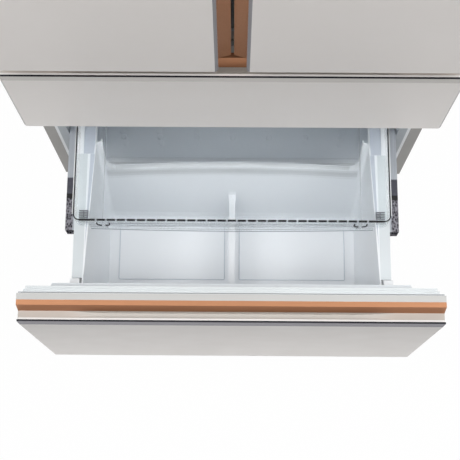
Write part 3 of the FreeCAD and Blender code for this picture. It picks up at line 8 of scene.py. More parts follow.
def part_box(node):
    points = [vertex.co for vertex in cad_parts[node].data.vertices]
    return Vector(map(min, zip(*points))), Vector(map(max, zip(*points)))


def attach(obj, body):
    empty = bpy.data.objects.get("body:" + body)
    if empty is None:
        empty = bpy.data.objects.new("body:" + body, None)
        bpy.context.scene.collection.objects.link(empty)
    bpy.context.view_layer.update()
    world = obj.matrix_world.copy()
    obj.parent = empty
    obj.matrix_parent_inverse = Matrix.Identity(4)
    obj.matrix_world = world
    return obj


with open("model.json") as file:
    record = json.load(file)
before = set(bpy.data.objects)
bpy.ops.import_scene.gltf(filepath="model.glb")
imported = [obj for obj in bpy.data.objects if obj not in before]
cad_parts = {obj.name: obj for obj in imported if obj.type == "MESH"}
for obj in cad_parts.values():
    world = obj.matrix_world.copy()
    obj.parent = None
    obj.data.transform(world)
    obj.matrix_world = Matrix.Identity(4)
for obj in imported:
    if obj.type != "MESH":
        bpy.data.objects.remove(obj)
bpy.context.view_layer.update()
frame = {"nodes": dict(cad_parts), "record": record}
NODES = frame["nodes"]

# Places in metres. The fronts face -Y, and the freezer drawer rests open.
FRONT_Y = -0.194
DRAWER_OPEN = 0.428
DRAWER_Y = FRONT_Y - DRAWER_OPEN

# Depths behind a front's outer face, and the stretch across in which the pocket is painted darker to its
# ends as painted shade
LIP_DEPTH = 0.014
POCKET_DEPTH = 0.03725
POCKET_SHADE_SPAN = (0.29, 0.36)

# Bottom and top of the two drawers' panels
FREEZER_FACE = (0.065, 0.545)
MIDDLE_FACE = (0.581, 0.847)

# Liner face that the seals close on: how far back its grey reaches, and where its pale edge starts
FLANGE_Y = FRONT_Y + 0.0817
FLANGE_EDGE = 0.420

# Freezer's intermediate slide: where its outer race starts, the back end of the grease, and the stop
RACE_X = 0.379
RACE_END = -0.230
STOP_BACK = -0.270
STOP_FRONT = -0.282

# Camera, fitted to the edges of the fronts
CAMERA_AT = (0.0053, -0.9851, 2.7396)
CAMERA_YAW = 0.896
CAMERA_PITCH = 75.413
CAMERA_ROLL = -0.491
CAMERA_LENS = 82.11
CAMERA_SENSOR = 36.0

# Stretch of a noise: even, or drawn out along an axis
EVEN = (1, 1, 1)
BRUSHED_X = (0.02, 1, 1)
DRAWN_X = (0.05, 1, 1)
DRAWN_Y = (1, 0.05, 1)
DRAWN_Z = (1, 1, 0.05)
ROLLED_Y = (1, 0.03, 1)
SPOTS_Y = (1, 0.7, 1)


def screen(r, g, b):
    """An 8-bit screen colour as linear RGBA."""
    def linear(c):
        c = c / 255.0
        if c <= 0.04045:
            return c / 12.92
        return ((c + 0.055) / 1.055) ** 2.4
    return (linear(r), linear(g), linear(b), 1.0)


def grey(value):
    return (value, value, value, 1.0)


class Shader:
    """A node material being built round its Principled BSDF."""

    def __init__(self, name):
        self.material = bpy.data.materials.new(name)
        self.material.use_nodes = True
        self.nodes = self.material.node_tree.nodes
        self.links = self.material.node_tree.links
        self.bsdf = self.nodes["Principled BSDF"]
        self.place = self.nodes.new("ShaderNodeTexCoord")

    def set(self, **values):
        """Constants on the BSDF; an underscore stands for a space in a socket's name."""
        for key, value in values.items():
            self.bsdf.inputs[key.replace("_", " ")].default_value = value
        return self

    def new(self, kind, **values):
        """A node with constants on its sockets, named in the same way."""
        node = self.nodes.new(kind)
        for key, value in values.items():
            node.inputs[key.replace("_", " ")].default_value = value
        return node

    def link(self, a, b):
        self.links.new(a, b)

    def stretched(self, scale):
        """Object coordinates, stretched by a scale along each axis."""
        mapping = self.new("ShaderNodeMapping", Scale=scale)
        self.link(self.place.outputs["Object"], mapping.inputs["Vector"])
        return mapping.outputs["Vector"]

    def noise(self, scale, detail, stretch):
        node = self.new("ShaderNodeTexNoise", Scale=scale, Detail=detail)
        self.link(self.stretched(stretch), node.inputs["Vector"])
        return node.outputs["Fac"]

    def ramp(self, value, stops):
        """Colours by value; stops are (position, colour)."""
        node = self.nodes.new("ShaderNodeValToRGB")
        ends = node.color_ramp.elements
        while len(ends) < len(stops):
            ends.new(0.5)
        for end, (position, colour) in zip(ends, stops):
            end.position = position
            end.color = colour
        self.link(value, node.inputs["Fac"])
        return node.outputs["Color"]

    def span(self, value, low, high, out_low=0.0, out_high=1.0):
        """A value's run from low to high, brought to another range and held at its ends."""
        node = self.new("ShaderNodeMapRange", From_Min=low, From_Max=high, To_Min=out_low, To_Max=out_high)
        self.link(value, node.inputs["Value"])
        return node.outputs["Result"]

    def past(self, value, at, soft):
        """0 below a place and 1 above it, with a soft change; a negative soft turns the two round."""
        return self.span(value, at - soft, at + soft)

    def mix(self, factor, a, b, blend="MIX"):
        """Blend of two colours, each a socket or a constant."""
        node = self.nodes.new("ShaderNodeMix")
        node.data_type = "RGBA"
        node.blend_type = blend
        sockets = [s for s in node.inputs if s.enabled]
        for socket, value in zip(sockets, (factor, a, b)):
            if isinstance(value, (int, float, tuple)):
                socket.default_value = value
            else:
                self.link(value, socket)
        return [s for s in node.outputs if s.enabled][0]

    def axis(self, output, letter):
        """One coordinate of the object's place or normal."""
        node = self.nodes.new("ShaderNodeSeparateXYZ")
        self.link(self.place.outputs[output], node.inputs["Vector"])
        return node.outputs[letter]

    def across(self):
        """Distance from the object's middle plane."""
        node = self.nodes.new("ShaderNodeMath")
        node.operation = "ABSOLUTE"
        self.link(self.axis("Object", "X"), node.inputs[0])
        return node.outputs[0]

    def tint(self, colour, spread, scale, stretch=EVEN):
        """A colour with a soft, uneven tone."""
        dark = tuple(c * (1 - spread) for c in colour[:3]) + (1.0,)
        light = tuple(min(1.0, c * (1 + spread)) for c in colour[:3]) + (1.0,)
        return self.ramp(self.noise(scale, detail=4.0, stretch=stretch), [(0.3, dark), (0.7, light)])

    def colour(self, socket):
        self.link(socket, self.bsdf.inputs["Base Color"])

    def rough(self, low, high, scale, stretch=EVEN):
        """Uneven roughness between two values."""
        value = self.noise(scale, detail=3.0, stretch=stretch)
        self.link(self.span(value, 0.25, 0.75, low, high), self.bsdf.inputs["Roughness"])

    def bump(self, height, depth, strength):
        node = self.new("ShaderNodeBump", Strength=strength, Distance=depth)
        self.link(height, node.inputs["Height"])
        self.link(node.outputs["Normal"], self.bsdf.inputs["Normal"])

    def grain(self, scale, depth, strength, stretch=EVEN):
        """Fine relief."""
        self.bump(self.noise(scale, detail=2.0, stretch=stretch), depth, strength)


# Materials by kind


def moulded(name, colour, roughness, grain=900.0, depth=0.00004, spread=0.02):
    """Injection-moulded plastic: an even tone with a fine grain."""
    s = Shader(name)
    s.colour(s.tint(colour, spread, scale=6.0))
    s.rough(roughness - 0.06, roughness + 0.06, scale=30.0)
    s.grain(grain, depth, strength=0.6)
    return s.set(Specular_IOR_Level=0.35).material


def painted(name, colour, roughness):
    """Satin coat on sheet steel with a faint orange peel."""
    s = Shader(name)
    s.colour(s.tint(colour, spread=0.015, scale=4.0))
    s.rough(roughness - 0.05, roughness + 0.05, scale=18.0)
    s.grain(420.0, depth=0.00003, strength=0.5)
    return s.set(Coat_Weight=0.12, Coat_Roughness=0.25).material


def metal(name, colour, roughness, stretch, spread=0.06):
    """Rolled or brushed metal with its grain along one axis, or even."""
    s = Shader(name)
    s.colour(s.tint(colour, spread, scale=900.0, stretch=stretch))
    s.rough(roughness - 0.08, roughness + 0.08, scale=700.0, stretch=stretch)
    s.grain(1200.0, depth=0.00003, strength=0.5, stretch=stretch)
    return s.set(Metallic=1.0).material


def clear(name, tint, roughness, alpha):
    """Clear moulded plastic or glass, slightly tinted and faintly wavy."""
    s = Shader(name)
    s.colour(s.tint(tint, spread=0.01, scale=12.0))
    s.grain(60.0, depth=0.00012, strength=0.35)
    return s.set(Transmission_Weight=1.0, Roughness=roughness, IOR=1.14, Alpha=alpha).material


# The normal's Y where a panel's face turns into its bevel, and where the bevel turns into the edge
BEVEL_TURN = (-1.0, -0.84)
EDGE_TURN = (-0.45, -0.25)
PANEL_EDGE = screen(32, 32, 38)


def front_panel(name, face, bevel, heights=None, painted_light_fade=0.0):
    """Satin face coat, painted lighter towards the foot and darker towards the top by a share, as painted
    light; the bevel and the edge behind it are darker.
    """
    s = Shader(name)
    brushed = s.tint(face, spread=0.012, scale=700.0, stretch=BRUSHED_X)
    cloud = s.tint(face, spread=0.02, scale=2.5)
    coat = s.mix(0.5, brushed, cloud)
    if heights:
        # Painted light and shade: the coat is lighter towards the foot and darker towards the top.
        rise = s.span(s.axis("Object", "Z"), heights[0], heights[1])
        shade = s.mix(rise, grey(1 + painted_light_fade), grey(1 - painted_light_fade))
        coat = s.mix(1.0, coat, shade, "MULTIPLY")
    facing = s.axis("Normal", "Y")
    on_bevel = s.span(facing, BEVEL_TURN[0], BEVEL_TURN[1])
    on_edge = s.span(facing, EDGE_TURN[0], EDGE_TURN[1])
    s.colour(s.mix(on_edge, s.mix(on_bevel, coat, bevel), PANEL_EDGE))
    s.rough(0.33, 0.43, scale=14.0)
    s.grain(500.0, depth=0.00002, strength=0.4, stretch=DRAWN_X)
    return s.set(Specular_IOR_Level=0.2, Coat_Weight=0.03, Coat_Roughness=0.3).material


LIP = screen(226, 225, 223)
CAP = screen(196, 196, 194)


def front_core(name, front_y, pocket, pocket_end_shade=None):
    """Moulded core of a front: white lip, warm pocket and pale cap, told apart by depth; a pocket end
    colour paints shade towards the pocket's ends.
    """
    s = Shader(name)
    y = s.axis("Object", "Y")
    if pocket_end_shade:
        # Painted shade: the pocket darkens towards its ends.
        pocket = s.mix(s.span(s.across(), POCKET_SHADE_SPAN[0], POCKET_SHADE_SPAN[1]), pocket, pocket_end_shade)
    tone = s.mix(s.past(y, front_y + LIP_DEPTH, soft=0.0001), LIP, pocket)
    tone = s.mix(s.past(y, front_y + POCKET_DEPTH, soft=0.00075), tone, CAP)
    cloud = s.tint(grey(1.0), spread=0.03, scale=8.0)
    s.colour(s.mix(1.0, tone, cloud, "MULTIPLY"))
    s.rough(0.3, 0.42, scale=22.0)
    s.grain(800.0, depth=0.00003, strength=0.5)
    return s.set(Coat_Weight=0.2, Coat_Roughness=0.2).material


def cabinet_liner(name, white, flange, edge):
    """Vacuum-formed white liner, grey on the face that the seals close on and pale at that face's outer
    edge.
    """
    s = Shader(name)
    on_flange = s.past(s.axis("Object", "Y"), FLANGE_Y, soft=-0.0004)
    on_edge = s.past(s.across(), FLANGE_EDGE, soft=0.0008)
    face = s.mix(on_edge, s.tint(flange, spread=0.02, scale=40.0), edge)
    s.colour(s.mix(on_flange, s.tint(white, spread=0.012, scale=5.0), face))
    s.rough(0.36, 0.46, scale=30.0)
    s.grain(240.0, depth=0.00002, strength=0.6)
    return s.set(Specular_IOR_Level=0.35).material


def plating(s, zinc):
    return s.tint(zinc, spread=0.1, scale=500.0, stretch=ROLLED_Y)


def slide_steel(name, zinc):
    """Zinc-plated slide steel, rolled lengthwise."""
    s = Shader(name)
    s.colour(plating(s, zinc))
    s.rough(0.35, 0.55, scale=220.0)
    s.grain(700.0, depth=0.00003, strength=0.5, stretch=DRAWN_Y)
    return s.set(Metallic=0.35).material


GREASE = screen(74, 74, 84)
STOP = screen(14, 14, 16)
SPOTS = [(0.16, screen(16, 15, 19)), (0.38, screen(66, 64, 72)), (0.66, screen(138, 136, 144))]


def slide_race(name, zinc):
    """Plated intermediate slide; its outer race is greased in front, black at the stop, then spotted."""
    s = Shader(name)
    y = s.axis("Object", "Y")
    cells = s.new("ShaderNodeTexVoronoi", Scale=220.0)
    s.link(s.stretched(SPOTS_Y), cells.inputs["Vector"])
    grease = s.tint(GREASE, spread=0.16, scale=120.0)
    dark = s.mix(s.past(y, STOP_BACK, soft=-0.0012), grease, STOP)
    dark = s.mix(s.past(y, STOP_FRONT, soft=-0.0012), dark, s.ramp(cells.outputs["Distance"], SPOTS))
    plated = plating(s, zinc)
    race = s.mix(s.past(y, RACE_END, soft=-0.0016), plated, dark)
    s.colour(s.mix(s.past(s.across(), RACE_X, soft=0.0004), plated, race))
    s.rough(0.4, 0.6, scale=220.0)
    s.bump(cells.outputs["Distance"], depth=0.0002, strength=0.3)
    return s.set(Metallic=0.3).material


# Looks of the nodes: by the slot in the record, and then those of single nodes

FACE = screen(203, 199, 196)
BEVEL = screen(126, 125, 129)
# Lighter copies of FACE and BEVEL for the middle panel: painted light.
MIDDLE_PAINTED_LIGHT_COAT = screen(213, 209, 206)
MIDDLE_PAINTED_LIGHT_BEVEL = screen(158, 156, 153)

# Grain of moulded plastic
SMOOTH = {"grain": 240.0, "depth": 0.00001}
SATIN = {"grain": 240.0, "depth": 0.00002}
POLISHED = {"grain": 900.0, "depth": 0.00001}
FINE = {"grain": 900.0, "depth": 0.00002}

LOOKS = {
    "front_paint": front_panel("front_paint", FACE, BEVEL),
    "case_paint": painted("case_paint", screen(140, 137, 133), 0.42),
    "front_core": front_core("front_core", FRONT_Y, screen(203, 198, 192)),
    "copper": metal("copper", screen(166, 120, 90), 0.5, BRUSHED_X, spread=0.05),
    "white_liner": moulded("white_liner", screen(232, 237, 241), 0.4, **SATIN, spread=0.012),
    "bin_white": moulded("bin_white", screen(239, 242, 245), 0.4, **SMOOTH, spread=0.006),
    "bracket_paint": painted("bracket_paint", screen(240, 242, 244), 0.4),
    "seal": moulded("seal", screen(222, 227, 229), 0.55, grain=1200.0, depth=0.00006),
    "rail_steel": slide_steel("rail_steel", screen(196, 199, 204)),
    "clear_plastic": clear("clear_plastic", screen(233, 237, 239), roughness=0.08, alpha=0.42),
    "shelf_glass": clear("shelf_glass", screen(226, 240, 236), roughness=0.02, alpha=0.26),
    "shelf_trim": moulded("shelf_trim", screen(224, 227, 230), 0.35),
    "foam": moulded("foam", screen(226, 208, 160), 0.8, grain=300.0, depth=0.0004, spread=0.08),
    "galvanised": metal("galvanised", screen(176, 178, 180), 0.42, EVEN, spread=0.12),
    "dark_plastic": moulded("dark_plastic", screen(58, 58, 60), 0.5, grain=800.0, depth=0.00008),
    "pale_plastic": moulded("pale_plastic", screen(205, 206, 206), 0.45),
    "hinge_steel": metal("hinge_steel", screen(168, 168, 170), 0.35, DRAWN_Y),
    "foot_steel": metal("foot_steel", screen(168, 168, 170), 0.35, DRAWN_Z),
    "roller_plastic": moulded("roller_plastic", screen(72, 72, 74), 0.5),
    "black_enamel": painted("black_enamel", screen(30, 30, 32), 0.25),
    "grommet": moulded("grommet", screen(40, 40, 40), 0.7),
    "coil_metal": metal("coil_metal", screen(196, 198, 200), 0.35, DRAWN_X),
}
# The liner's white is darker than white_liner's, painted shade of the cabinet's inside.
CABINET_LINER = cabinet_liner(
    "cabinet_liner", white=screen(224, 230, 236), flange=screen(159, 166, 172), edge=screen(226, 229, 231))
NODE_LOOKS = {
    # Drawer pocket: middle lighter and ends darker than front_core's pocket, as painted light and painted
    # shade.
    "freezer_front_body": front_core("drawer_core_painted_shade", DRAWER_Y, screen(207, 202, 196), screen(187, 181, 174)),
    # Both drawer panels are painted lighter towards the foot as painted light.
    "freezer_front_panel": front_panel("freezer_panel_painted_light", FACE, BEVEL, FREEZER_FACE, painted_light_fade=0.18),
    "middle_front_panel": front_panel("middle_panel_painted_light", MIDDLE_PAINTED_LIGHT_COAT, MIDDLE_PAINTED_LIGHT_BEVEL, MIDDLE_FACE, painted_light_fade=0.11),
    # The slides' zinc is darker than rail_steel's, painted shade for their place deep in the cabinet.
    "freezer_slide_rails": slide_race("slide_race", screen(178, 183, 190)),
    "freezer_divider": moulded("bin_divider", screen(230, 233, 236), 0.4, **SMOOTH, spread=0.006),
    "freezer_liner": CABINET_LINER,
    "middle_liner": CABINET_LINER,
    "fresh_food_liner": CABINET_LINER,
}


def dress(node, material):
    materials = NODES[node].data.materials
    materials.clear()
    materials.append(material)


for sub in frame["record"]["subparts"]:
    dress(sub["node"], LOOKS[sub["material_slot"]])
for node, look in NODE_LOOKS.items():
    dress(node, look)


# Looks of the added pieces

# Dark edges of the clear tray: painted shade where light bends away at the clear plastic's edges.
PAINTED_DARK_EDGE = moulded("painted_dark_edge", screen(14, 14, 18), 0.5, **FINE)
# Painted highlight on the tray rim's outer edge.
RIM_HIGHLIGHT = moulded("rim_painted_highlight", screen(244, 246, 247), 0.4, **POLISHED)
# Grey edges of the clear tray's fascia: painted shade.
PAINTED_GREY_EDGE = moulded("painted_grey_edge", screen(150, 155, 161), 0.5, **FINE)
RIBBED = moulded("ribbed_corner", screen(132, 135, 140), 0.45, **FINE)
# Painted shade along the edges of the bin floor's raised panels.
BIN_SHADE_LINE = moulded("bin_shade_line", screen(208, 214, 221), 0.5, **SMOOTH)
# Painted shade on the bin's flanges.
RIM_LANE_SHADE = moulded("rim_lane_shade", screen(196, 202, 212), 0.5, **SATIN)
GLIDE = moulded("rim_glide", screen(214, 220, 223), 0.45, **SMOOTH)
# Painted shade on the bin's back wall under the cut.
BAND_SHADE = moulded("bin_band_shade", screen(209, 212, 214), 0.45, **SMOOTH)
# Painted shadow in the gap between a front's core and its liner.
SEAM_SHADOW = moulded("front_seam", screen(150, 152, 154), 0.6, **FINE)
RIM_TRIM = moulded("bin_rim_trim", screen(206, 211, 215), 0.3, **POLISHED)
LAMP_COVER = moulded("lamp_cover", screen(246, 247, 246), 0.3, **POLISHED)
SCREW = metal("screw_steel", screen(92, 93, 96), 0.4, EVEN)


# Added pieces. Their points are in mm, in the frame of the closed fronts.

MM = 0.001
SIDES = (-1, 1)
UP = Vector((0, 0, 1))
REAR = Vector((0, 1, 0))


class Piece:
    """Geometry of one added piece, gathered in mm and then set on its body."""

    def __init__(self, travel=0.0):
        self.mesh = bmesh.new()
        self.travel = travel

    def ring(self, points):
        """Vertices at points in mm, moved out by the travel."""
        places = [(x * MM, FRONT_Y + y * MM - self.travel, z * MM) for x, y, z in points]
        return [self.mesh.verts.new(place) for place in places]

    def skin(self, rings, closed=False):
        """Quads between rings of as many points, with caps unless the rings close on themselves."""
        pairs = list(zip(rings, rings[1:]))
        if closed:
            pairs.append((rings[-1], rings[0]))
        count = len(rings[0])
        for a, b in pairs:
            for i in range(count):
                j = (i + 1) % count
                self.mesh.faces.new((a[i], a[j], b[j], b[i]))
        if not closed:
            self.mesh.faces.new(list(reversed(rings[0])))
            self.mesh.faces.new(rings[-1])

    def bar(self, x_ends, y_ends, z_ends, ease):
        """A bar between two places on each axis, with its upright and level edges eased."""
        x0, x1 = sorted(x_ends)
        y0, y1 = sorted(y_ends)
        z0, z1 = sorted(z_ends)
        rings = []
        for z, d in ((z0, ease), (z0 + ease, 0.0), (z1 - ease, 0.0), (z1, ease)):
            rings.append(self.ring([
                (x0 + ease + d, y0 + d, z), (x1 - ease - d, y0 + d, z), (x1 - d, y0 + ease + d, z),
                (x1 - d, y1 - ease - d, z), (x1 - ease - d, y1 - d, z), (x0 + ease + d, y1 - d, z),
                (x0 + d, y1 - ease - d, z), (x0 + d, y0 + ease + d, z)]))
        self.skin(rings)

    def tube(self, path, radius, plane=UP, closed=False, sides=8):
        """A round rod along a path that lies in a plane, given by the plane's normal."""
        points = [Vector(p) for p in path]
        rings = []
        for i, at in enumerate(points):
            before = points[i - 1] if i or closed else at
            after = points[(i + 1) % len(points)] if i + 1 < len(points) or closed else at
            side = (after - before).cross(plane).normalized()
            rings.append(self.ring(circle(at, radius, side, plane, sides)))
        self.skin(rings, closed)

    def screw(self, at, normal, radius):
        """A flush screw head with a round recess, a hair proud of its sheet."""
        sides = 14
        height = radius * 0.01
        profile = ((1.0, -0.2), (1.0, 0.35), (0.72, 0.9), (0.46, 1.0), (0.4, 0.45))
        side = normal.orthogonal().normalized()
        rings = []
        for share, rise in profile:
            centre = Vector(at) + normal * (rise * height)
            rings.append(self.ring(circle(centre, radius * share, side, normal.cross(side), sides)))
        self.skin(rings)

    def finish(self, name, body, material, smooth=True):
        """The mesh as an object that rides on a body; where smooth, its quads are shaded so."""
        bmesh.ops.recalc_face_normals(self.mesh, faces=self.mesh.faces)
        data = bpy.data.meshes.new(name)
        self.mesh.to_mesh(data)
        self.mesh.free()
        for face in data.polygons:
            face.use_smooth = smooth and len(face.vertices) == 4
        piece = bpy.data.objects.new(name, data)
        bpy.context.scene.collection.objects.link(piece)
        piece.data.materials.append(material)
        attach(piece, body)


def circle(centre, radius, side, up, count):
    """Points of a circle in the plane of two directions."""
    turns = [2 * math.pi * k / count for k in range(count)]
    return [centre + radius * (math.cos(t) * side + math.sin(t) * up) for t in turns]


def arc(u, v, radius, start, end, steps=6):
    """Points (u, v) of an arc round a centre; angles in degrees."""
    turns = [math.radians(start + (end - start) * i / steps) for i in range(steps + 1)]
    return [(u + radius * math.cos(t), v + radius * math.sin(t)) for t in turns]


def rounded(u0, u1, v0, v1, corner):
    """Points (u, v) round a rectangle with round corners."""
    centres = ((u1 - corner, v1 - corner), (u0 + corner, v1 - corner),
               (u0 + corner, v0 + corner), (u1 - corner, v0 + corner))
    points = []
    for i, (u, v) in enumerate(centres):
        points += arc(u, v, corner, 90 * i, 90 * i + 90, steps=4)
    return points


def level(points, z):
    """Points (x, y) at one height."""
    return [(x, y, z) for x, y in points]


def upright(points, y):
    """Points (x, z) at one depth."""
    return [(x, y, z) for x, z in points]


def local_box(node, travel=0.0):
    """A node's box in the pieces' own mm: (x0, x1), (y0, y1), (z0, z1)."""
    low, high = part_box(node)
    shift = (0.0, travel - FRONT_Y, 0.0)
    return [((a + d) / MM, (b + d) / MM) for a, b, d in zip(low, high, shift)]


def even_places(low, high, inset, spacing):
    """Places from inset to inset, about a spacing apart."""
    length = high - low - 2 * inset
    count = max(1, round(length / spacing))
    return [low + inset + length * i / count for i in range(count + 1)]


# Freezer bin and the clear tray on it

BIN_FLOOR = 132.0
BIN_RIM = 432.0
BIN_FRONT = 105.0
BIN_BACK = 446.0
BIN_FLOOR_BACK = 352.0
BIN_TOP_HALF = 334.0
BIN_NARROWING = 18.0
TRAY_HALF = 354.0
TRAY_FRONT = 243.0
TRAY_BACK = 533.0
TRAY_TOP = 490.0
TRAY_STEP = 432.3
TRAY_WALL = 2.6
TRAY_CORNER = 14.0
FASCIA_HALF = 322.0
FASCIA_LOW = 418.0
FASCIA_BOW = 18.0
NOTCHES = 28
NOTCH_PITCH = 22.4
NOTCH_W = 4.0


def tray_rim():
    """Rolled rim of the tray: a line along the sides and back, dashed by the notches in front, painted dark
    as shade of the clear plastic's edge.
    """
    bead = 1.4
    dash_behind = 0.4
    dash_half_h = 1.5
    half = TRAY_HALF - TRAY_WALL / 2
    front = TRAY_FRONT + TRAY_WALL / 2
    back = TRAY_BACK - TRAY_WALL / 2
    corner = TRAY_CORNER - TRAY_WALL / 2
    notch_end = NOTCH_PITCH * (NOTCHES - 1) / 2 + NOTCH_W / 2
    right = [(notch_end, front)]
    right += arc(half - corner, front + corner, corner, -90, 0)
    right += arc(half - corner, back - corner, corner, 0, 90)
    left = [(-x, y) for x, y in reversed(right)]
    piece = Piece(DRAWER_OPEN)
    piece.tube(level(right + left, TRAY_TOP), bead, sides=10)
    dashes = [(corner - half, -notch_end), (notch_end, half - corner)]
    for i in range(NOTCHES - 1):
        x = (i - (NOTCHES - 1) / 2) * NOTCH_PITCH
        dashes.append((x + NOTCH_W / 2, x + NOTCH_PITCH - NOTCH_W / 2))
    dash_y = (TRAY_FRONT - bead, TRAY_FRONT + TRAY_WALL + dash_behind)
    dash_z = (TRAY_TOP - dash_half_h, TRAY_TOP + dash_half_h)
    for dash_x in dashes:
        piece.bar(dash_x, dash_y, dash_z, ease=0.5)
    piece.finish("tray_rim", "freezer_tray", PAINTED_DARK_EDGE)


def tray_rim_edges():
    """Painted highlight: a white line along the outer edge of the tray's rim, on both sides."""
    bead = 1.0
    x = TRAY_HALF + 1.2
    z = TRAY_TOP - 0.4
    ends = (TRAY_FRONT + TRAY_CORNER, TRAY_BACK - TRAY_CORNER)
    piece = Piece(DRAWER_OPEN)
    for side in SIDES:
        piece.tube([(side * x, y, z) for y in ends], bead)
    piece.finish("tray_rim_edges", "freezer_tray", RIM_HIGHLIGHT)


def tray_corners():
    """Ribs inside the tray's front corners: four across, tied by two lower ones lengthwise."""
    ribs = 4
    pitch = 5.2
    thick = 1.3
    height = 7.0
    tie_height = 6.0
    floor = TRAY_STEP + TRAY_WALL
    outer = TRAY_HALF - 6.0
    inner = outer - 21.0
    first = TRAY_FRONT + TRAY_WALL + 17.0
    last = first + (ribs - 1) * pitch + thick
    piece = Piece(DRAWER_OPEN)
    for side in SIDES:
        for i in range(ribs):
            y = first + i * pitch
            piece.bar((side * inner, side * outer), (y, y + thick), (floor, floor + height), ease=0.3)
        for tie in (inner + thick, (inner + outer) / 2):
            x = side * tie
            piece.bar((x - thick / 2, x + thick / 2), (first, last), (floor, floor + tie_height), ease=0.3)
    piece.finish("tray_corners", "freezer_tray", RIBBED)


def tray_fascia_lines():
    """Raised edge along the fascia's bowed lower edge, and a line under its rim, painted grey as shade of
    the clear plastic's edges.
    """
    bead = 0.9
    line_bead = bead * 0.7
    line_z = TRAY_TOP - 26.0
    line_half = FASCIA_HALF - 42.0
    steps = 24
    front = TRAY_FRONT - bead * 0.4
    low = []
    for i in range(steps + 1):
        x = FASCIA_HALF * (2 * i / steps - 1)
        low.append((x, FASCIA_LOW - FASCIA_BOW * (1 - (x / FASCIA_HALF) ** 2)))
    piece = Piece(DRAWER_OPEN)
    piece.tube(upright(low, front), bead, REAR)
    piece.tube([(side * line_half, front, line_z) for side in SIDES], line_bead)
    piece.finish("tray_fascia_lines", "freezer_tray", PAINTED_GREY_EDGE)


def tray_grips():
    """Lower corners of the two U-shaped finger grips moulded into the fascia, painted dark as shade of
    their clear edges.
    """
    bead = 1.6
    middle = 289.0
    half = 14.0
    low = TRAY_TOP - 42.0
    corner = 10.0
    front = TRAY_FRONT - bead * 0.4
    outline = [(half, low + 2 * corner)]
    outline += arc(half - corner, low + corner, corner, 0, -90)
    piece = Piece(DRAWER_OPEN)
    for side in SIDES:
        for hand in SIDES:
            path = [(side * middle + hand * x, z) for x, z in outline]
            piece.tube(upright(path, front), bead, REAR)
    piece.finish("tray_grips", "freezer_tray", PAINTED_DARK_EDGE)


def bin_floor_lines():
    """Bead round each raised panel of the bin's floor, grey as painted shade at the panel's edge."""
    bead = 1.1
    corner = 3.0
    inner = 19.0
    outer = 286.0
    front = 185.0
    back = 340.0
    z = BIN_FLOOR + 1.2
    piece = Piece(DRAWER_OPEN)
    for side in SIDES:
        x0, x1 = sorted((side * inner, side * outer))
        piece.tube(level(rounded(x0, x1, front, back, corner), z), bead, closed=True)
    piece.finish("bin_floor_lines", "freezer_drawer", BIN_SHADE_LINE)


def rim_lanes():
    """Grey strips on the bin's flanges as painted shade: a lane and its rib at the rear, and a wedge inside
    the ledge.
    """
    inner = 323.4
    outer = 344.6
    rib_inner = 319.2
    start = 418.4
    tail = BIN_BACK + 39.6
    thick = 1.0
    proud = 0.2
    low = BIN_RIM - 4.0
    rib_top = BIN_RIM - 1.5
    wedge_tip = (333.2, 190.0)
    wedge_width = 10.0
    wedge_end = start - 1.0
    narrow = BIN_NARROWING * (start - BIN_FRONT) / (BIN_BACK - BIN_FRONT)
    wedge_x = BIN_TOP_HALF - narrow + 1.0
    wedge = [wedge_tip, (wedge_x + wedge_width, wedge_end), (wedge_x, wedge_end)]
    lane_z = (low, low + thick)
    rib_z = (rib_top - thick, rib_top + proud)
    piece = Piece(DRAWER_OPEN)
    for side in SIDES:
        piece.bar((side * inner, side * outer), (start, tail), lane_z, ease=0.3)
        piece.bar((side * rib_inner, side * inner), (start, tail), rib_z, ease=0.1)
        outline = [(side * x, y) for x, y in wedge]
        piece.skin([piece.ring(level(outline, z)) for z in (BIN_RIM - thick, BIN_RIM + proud)])
    piece.finish("rim_lanes", "freezer_drawer", RIM_LANE_SHADE)


def rim_glides():
    """Plastic strips that the tray slides on, along the ledges of the bin's flanges."""
    inner = BIN_TOP_HALF + 0.8
    outer = 358.6
    start = 124.4
    end = 417.6
    thick = 2.0
    proud = 0.15
    piece = Piece(DRAWER_OPEN)
    for side in SIDES:
        piece.bar((side * inner, side * outer), (start, end), (BIN_RIM - thick, BIN_RIM + proud), ease=0.1)
    piece.finish("rim_glides", "freezer_drawer", GLIDE)


def bin_back_band():
    """Flat band under the cut in the bin's back wall and over the wall's folded top, grey as painted shade.
    """
    cut_bottom = 328.0
    cut_bow = 12.0
    flat = 279.0
    face_half = 303.0
    top_half = 282.0
    band_h = 24.0
    gap = 1.5
    fold_start = 2.5
    fold_end = 10.0
    lift = 0.8
    sink = 0.5
    steps = 24
    lean = (BIN_BACK - BIN_FLOOR_BACK) / (BIN_RIM - BIN_FLOOR)

    def wall_y(z):
        return BIN_FLOOR_BACK + lean * (z - BIN_FLOOR)

    def face_section(cut):
        high = cut - gap
        low = cut - band_h
        y_high = wall_y(cut)
        y_low = wall_y(low)
        return [(y_high + sink, high), (y_high - lift, high), (y_low - lift, low), (y_low + sink, low)]

    def top_section(cut):
        y0 = wall_y(cut) + fold_start
        y1 = wall_y(cut) + fold_end
        return [(y0, cut - sink), (y0, cut + lift), (y1, cut + lift), (y1, cut - sink)]

    piece = Piece(DRAWER_OPEN)
    for half, section in ((face_half, face_section), (top_half, top_section)):
        rings = []
        for i in range(steps + 1):
            x = half * (2 * i / steps - 1)
            cut = cut_bottom + cut_bow * max(0.0, 1 - (x / flat) ** 2)
            rings.append(piece.ring([(x, y, z) for y, z in section(cut)]))
        piece.skin(rings)
    piece.finish("bin_back_band", "freezer_drawer", BAND_SHADE, smooth=False)


# Seals and seams of the four fronts: body, node of the inner liner, and how far it rests open

FRONTS = {
    "freezer": ("freezer_drawer", "freezer_front_liner", DRAWER_OPEN),
    "middle": ("middle_drawer", "middle_front_liner", 0.0),
    "left_door": ("left_door", "left_door_liner", 0.0),
    "right_door": ("right_door", "right_door_liner", 0.0),
}


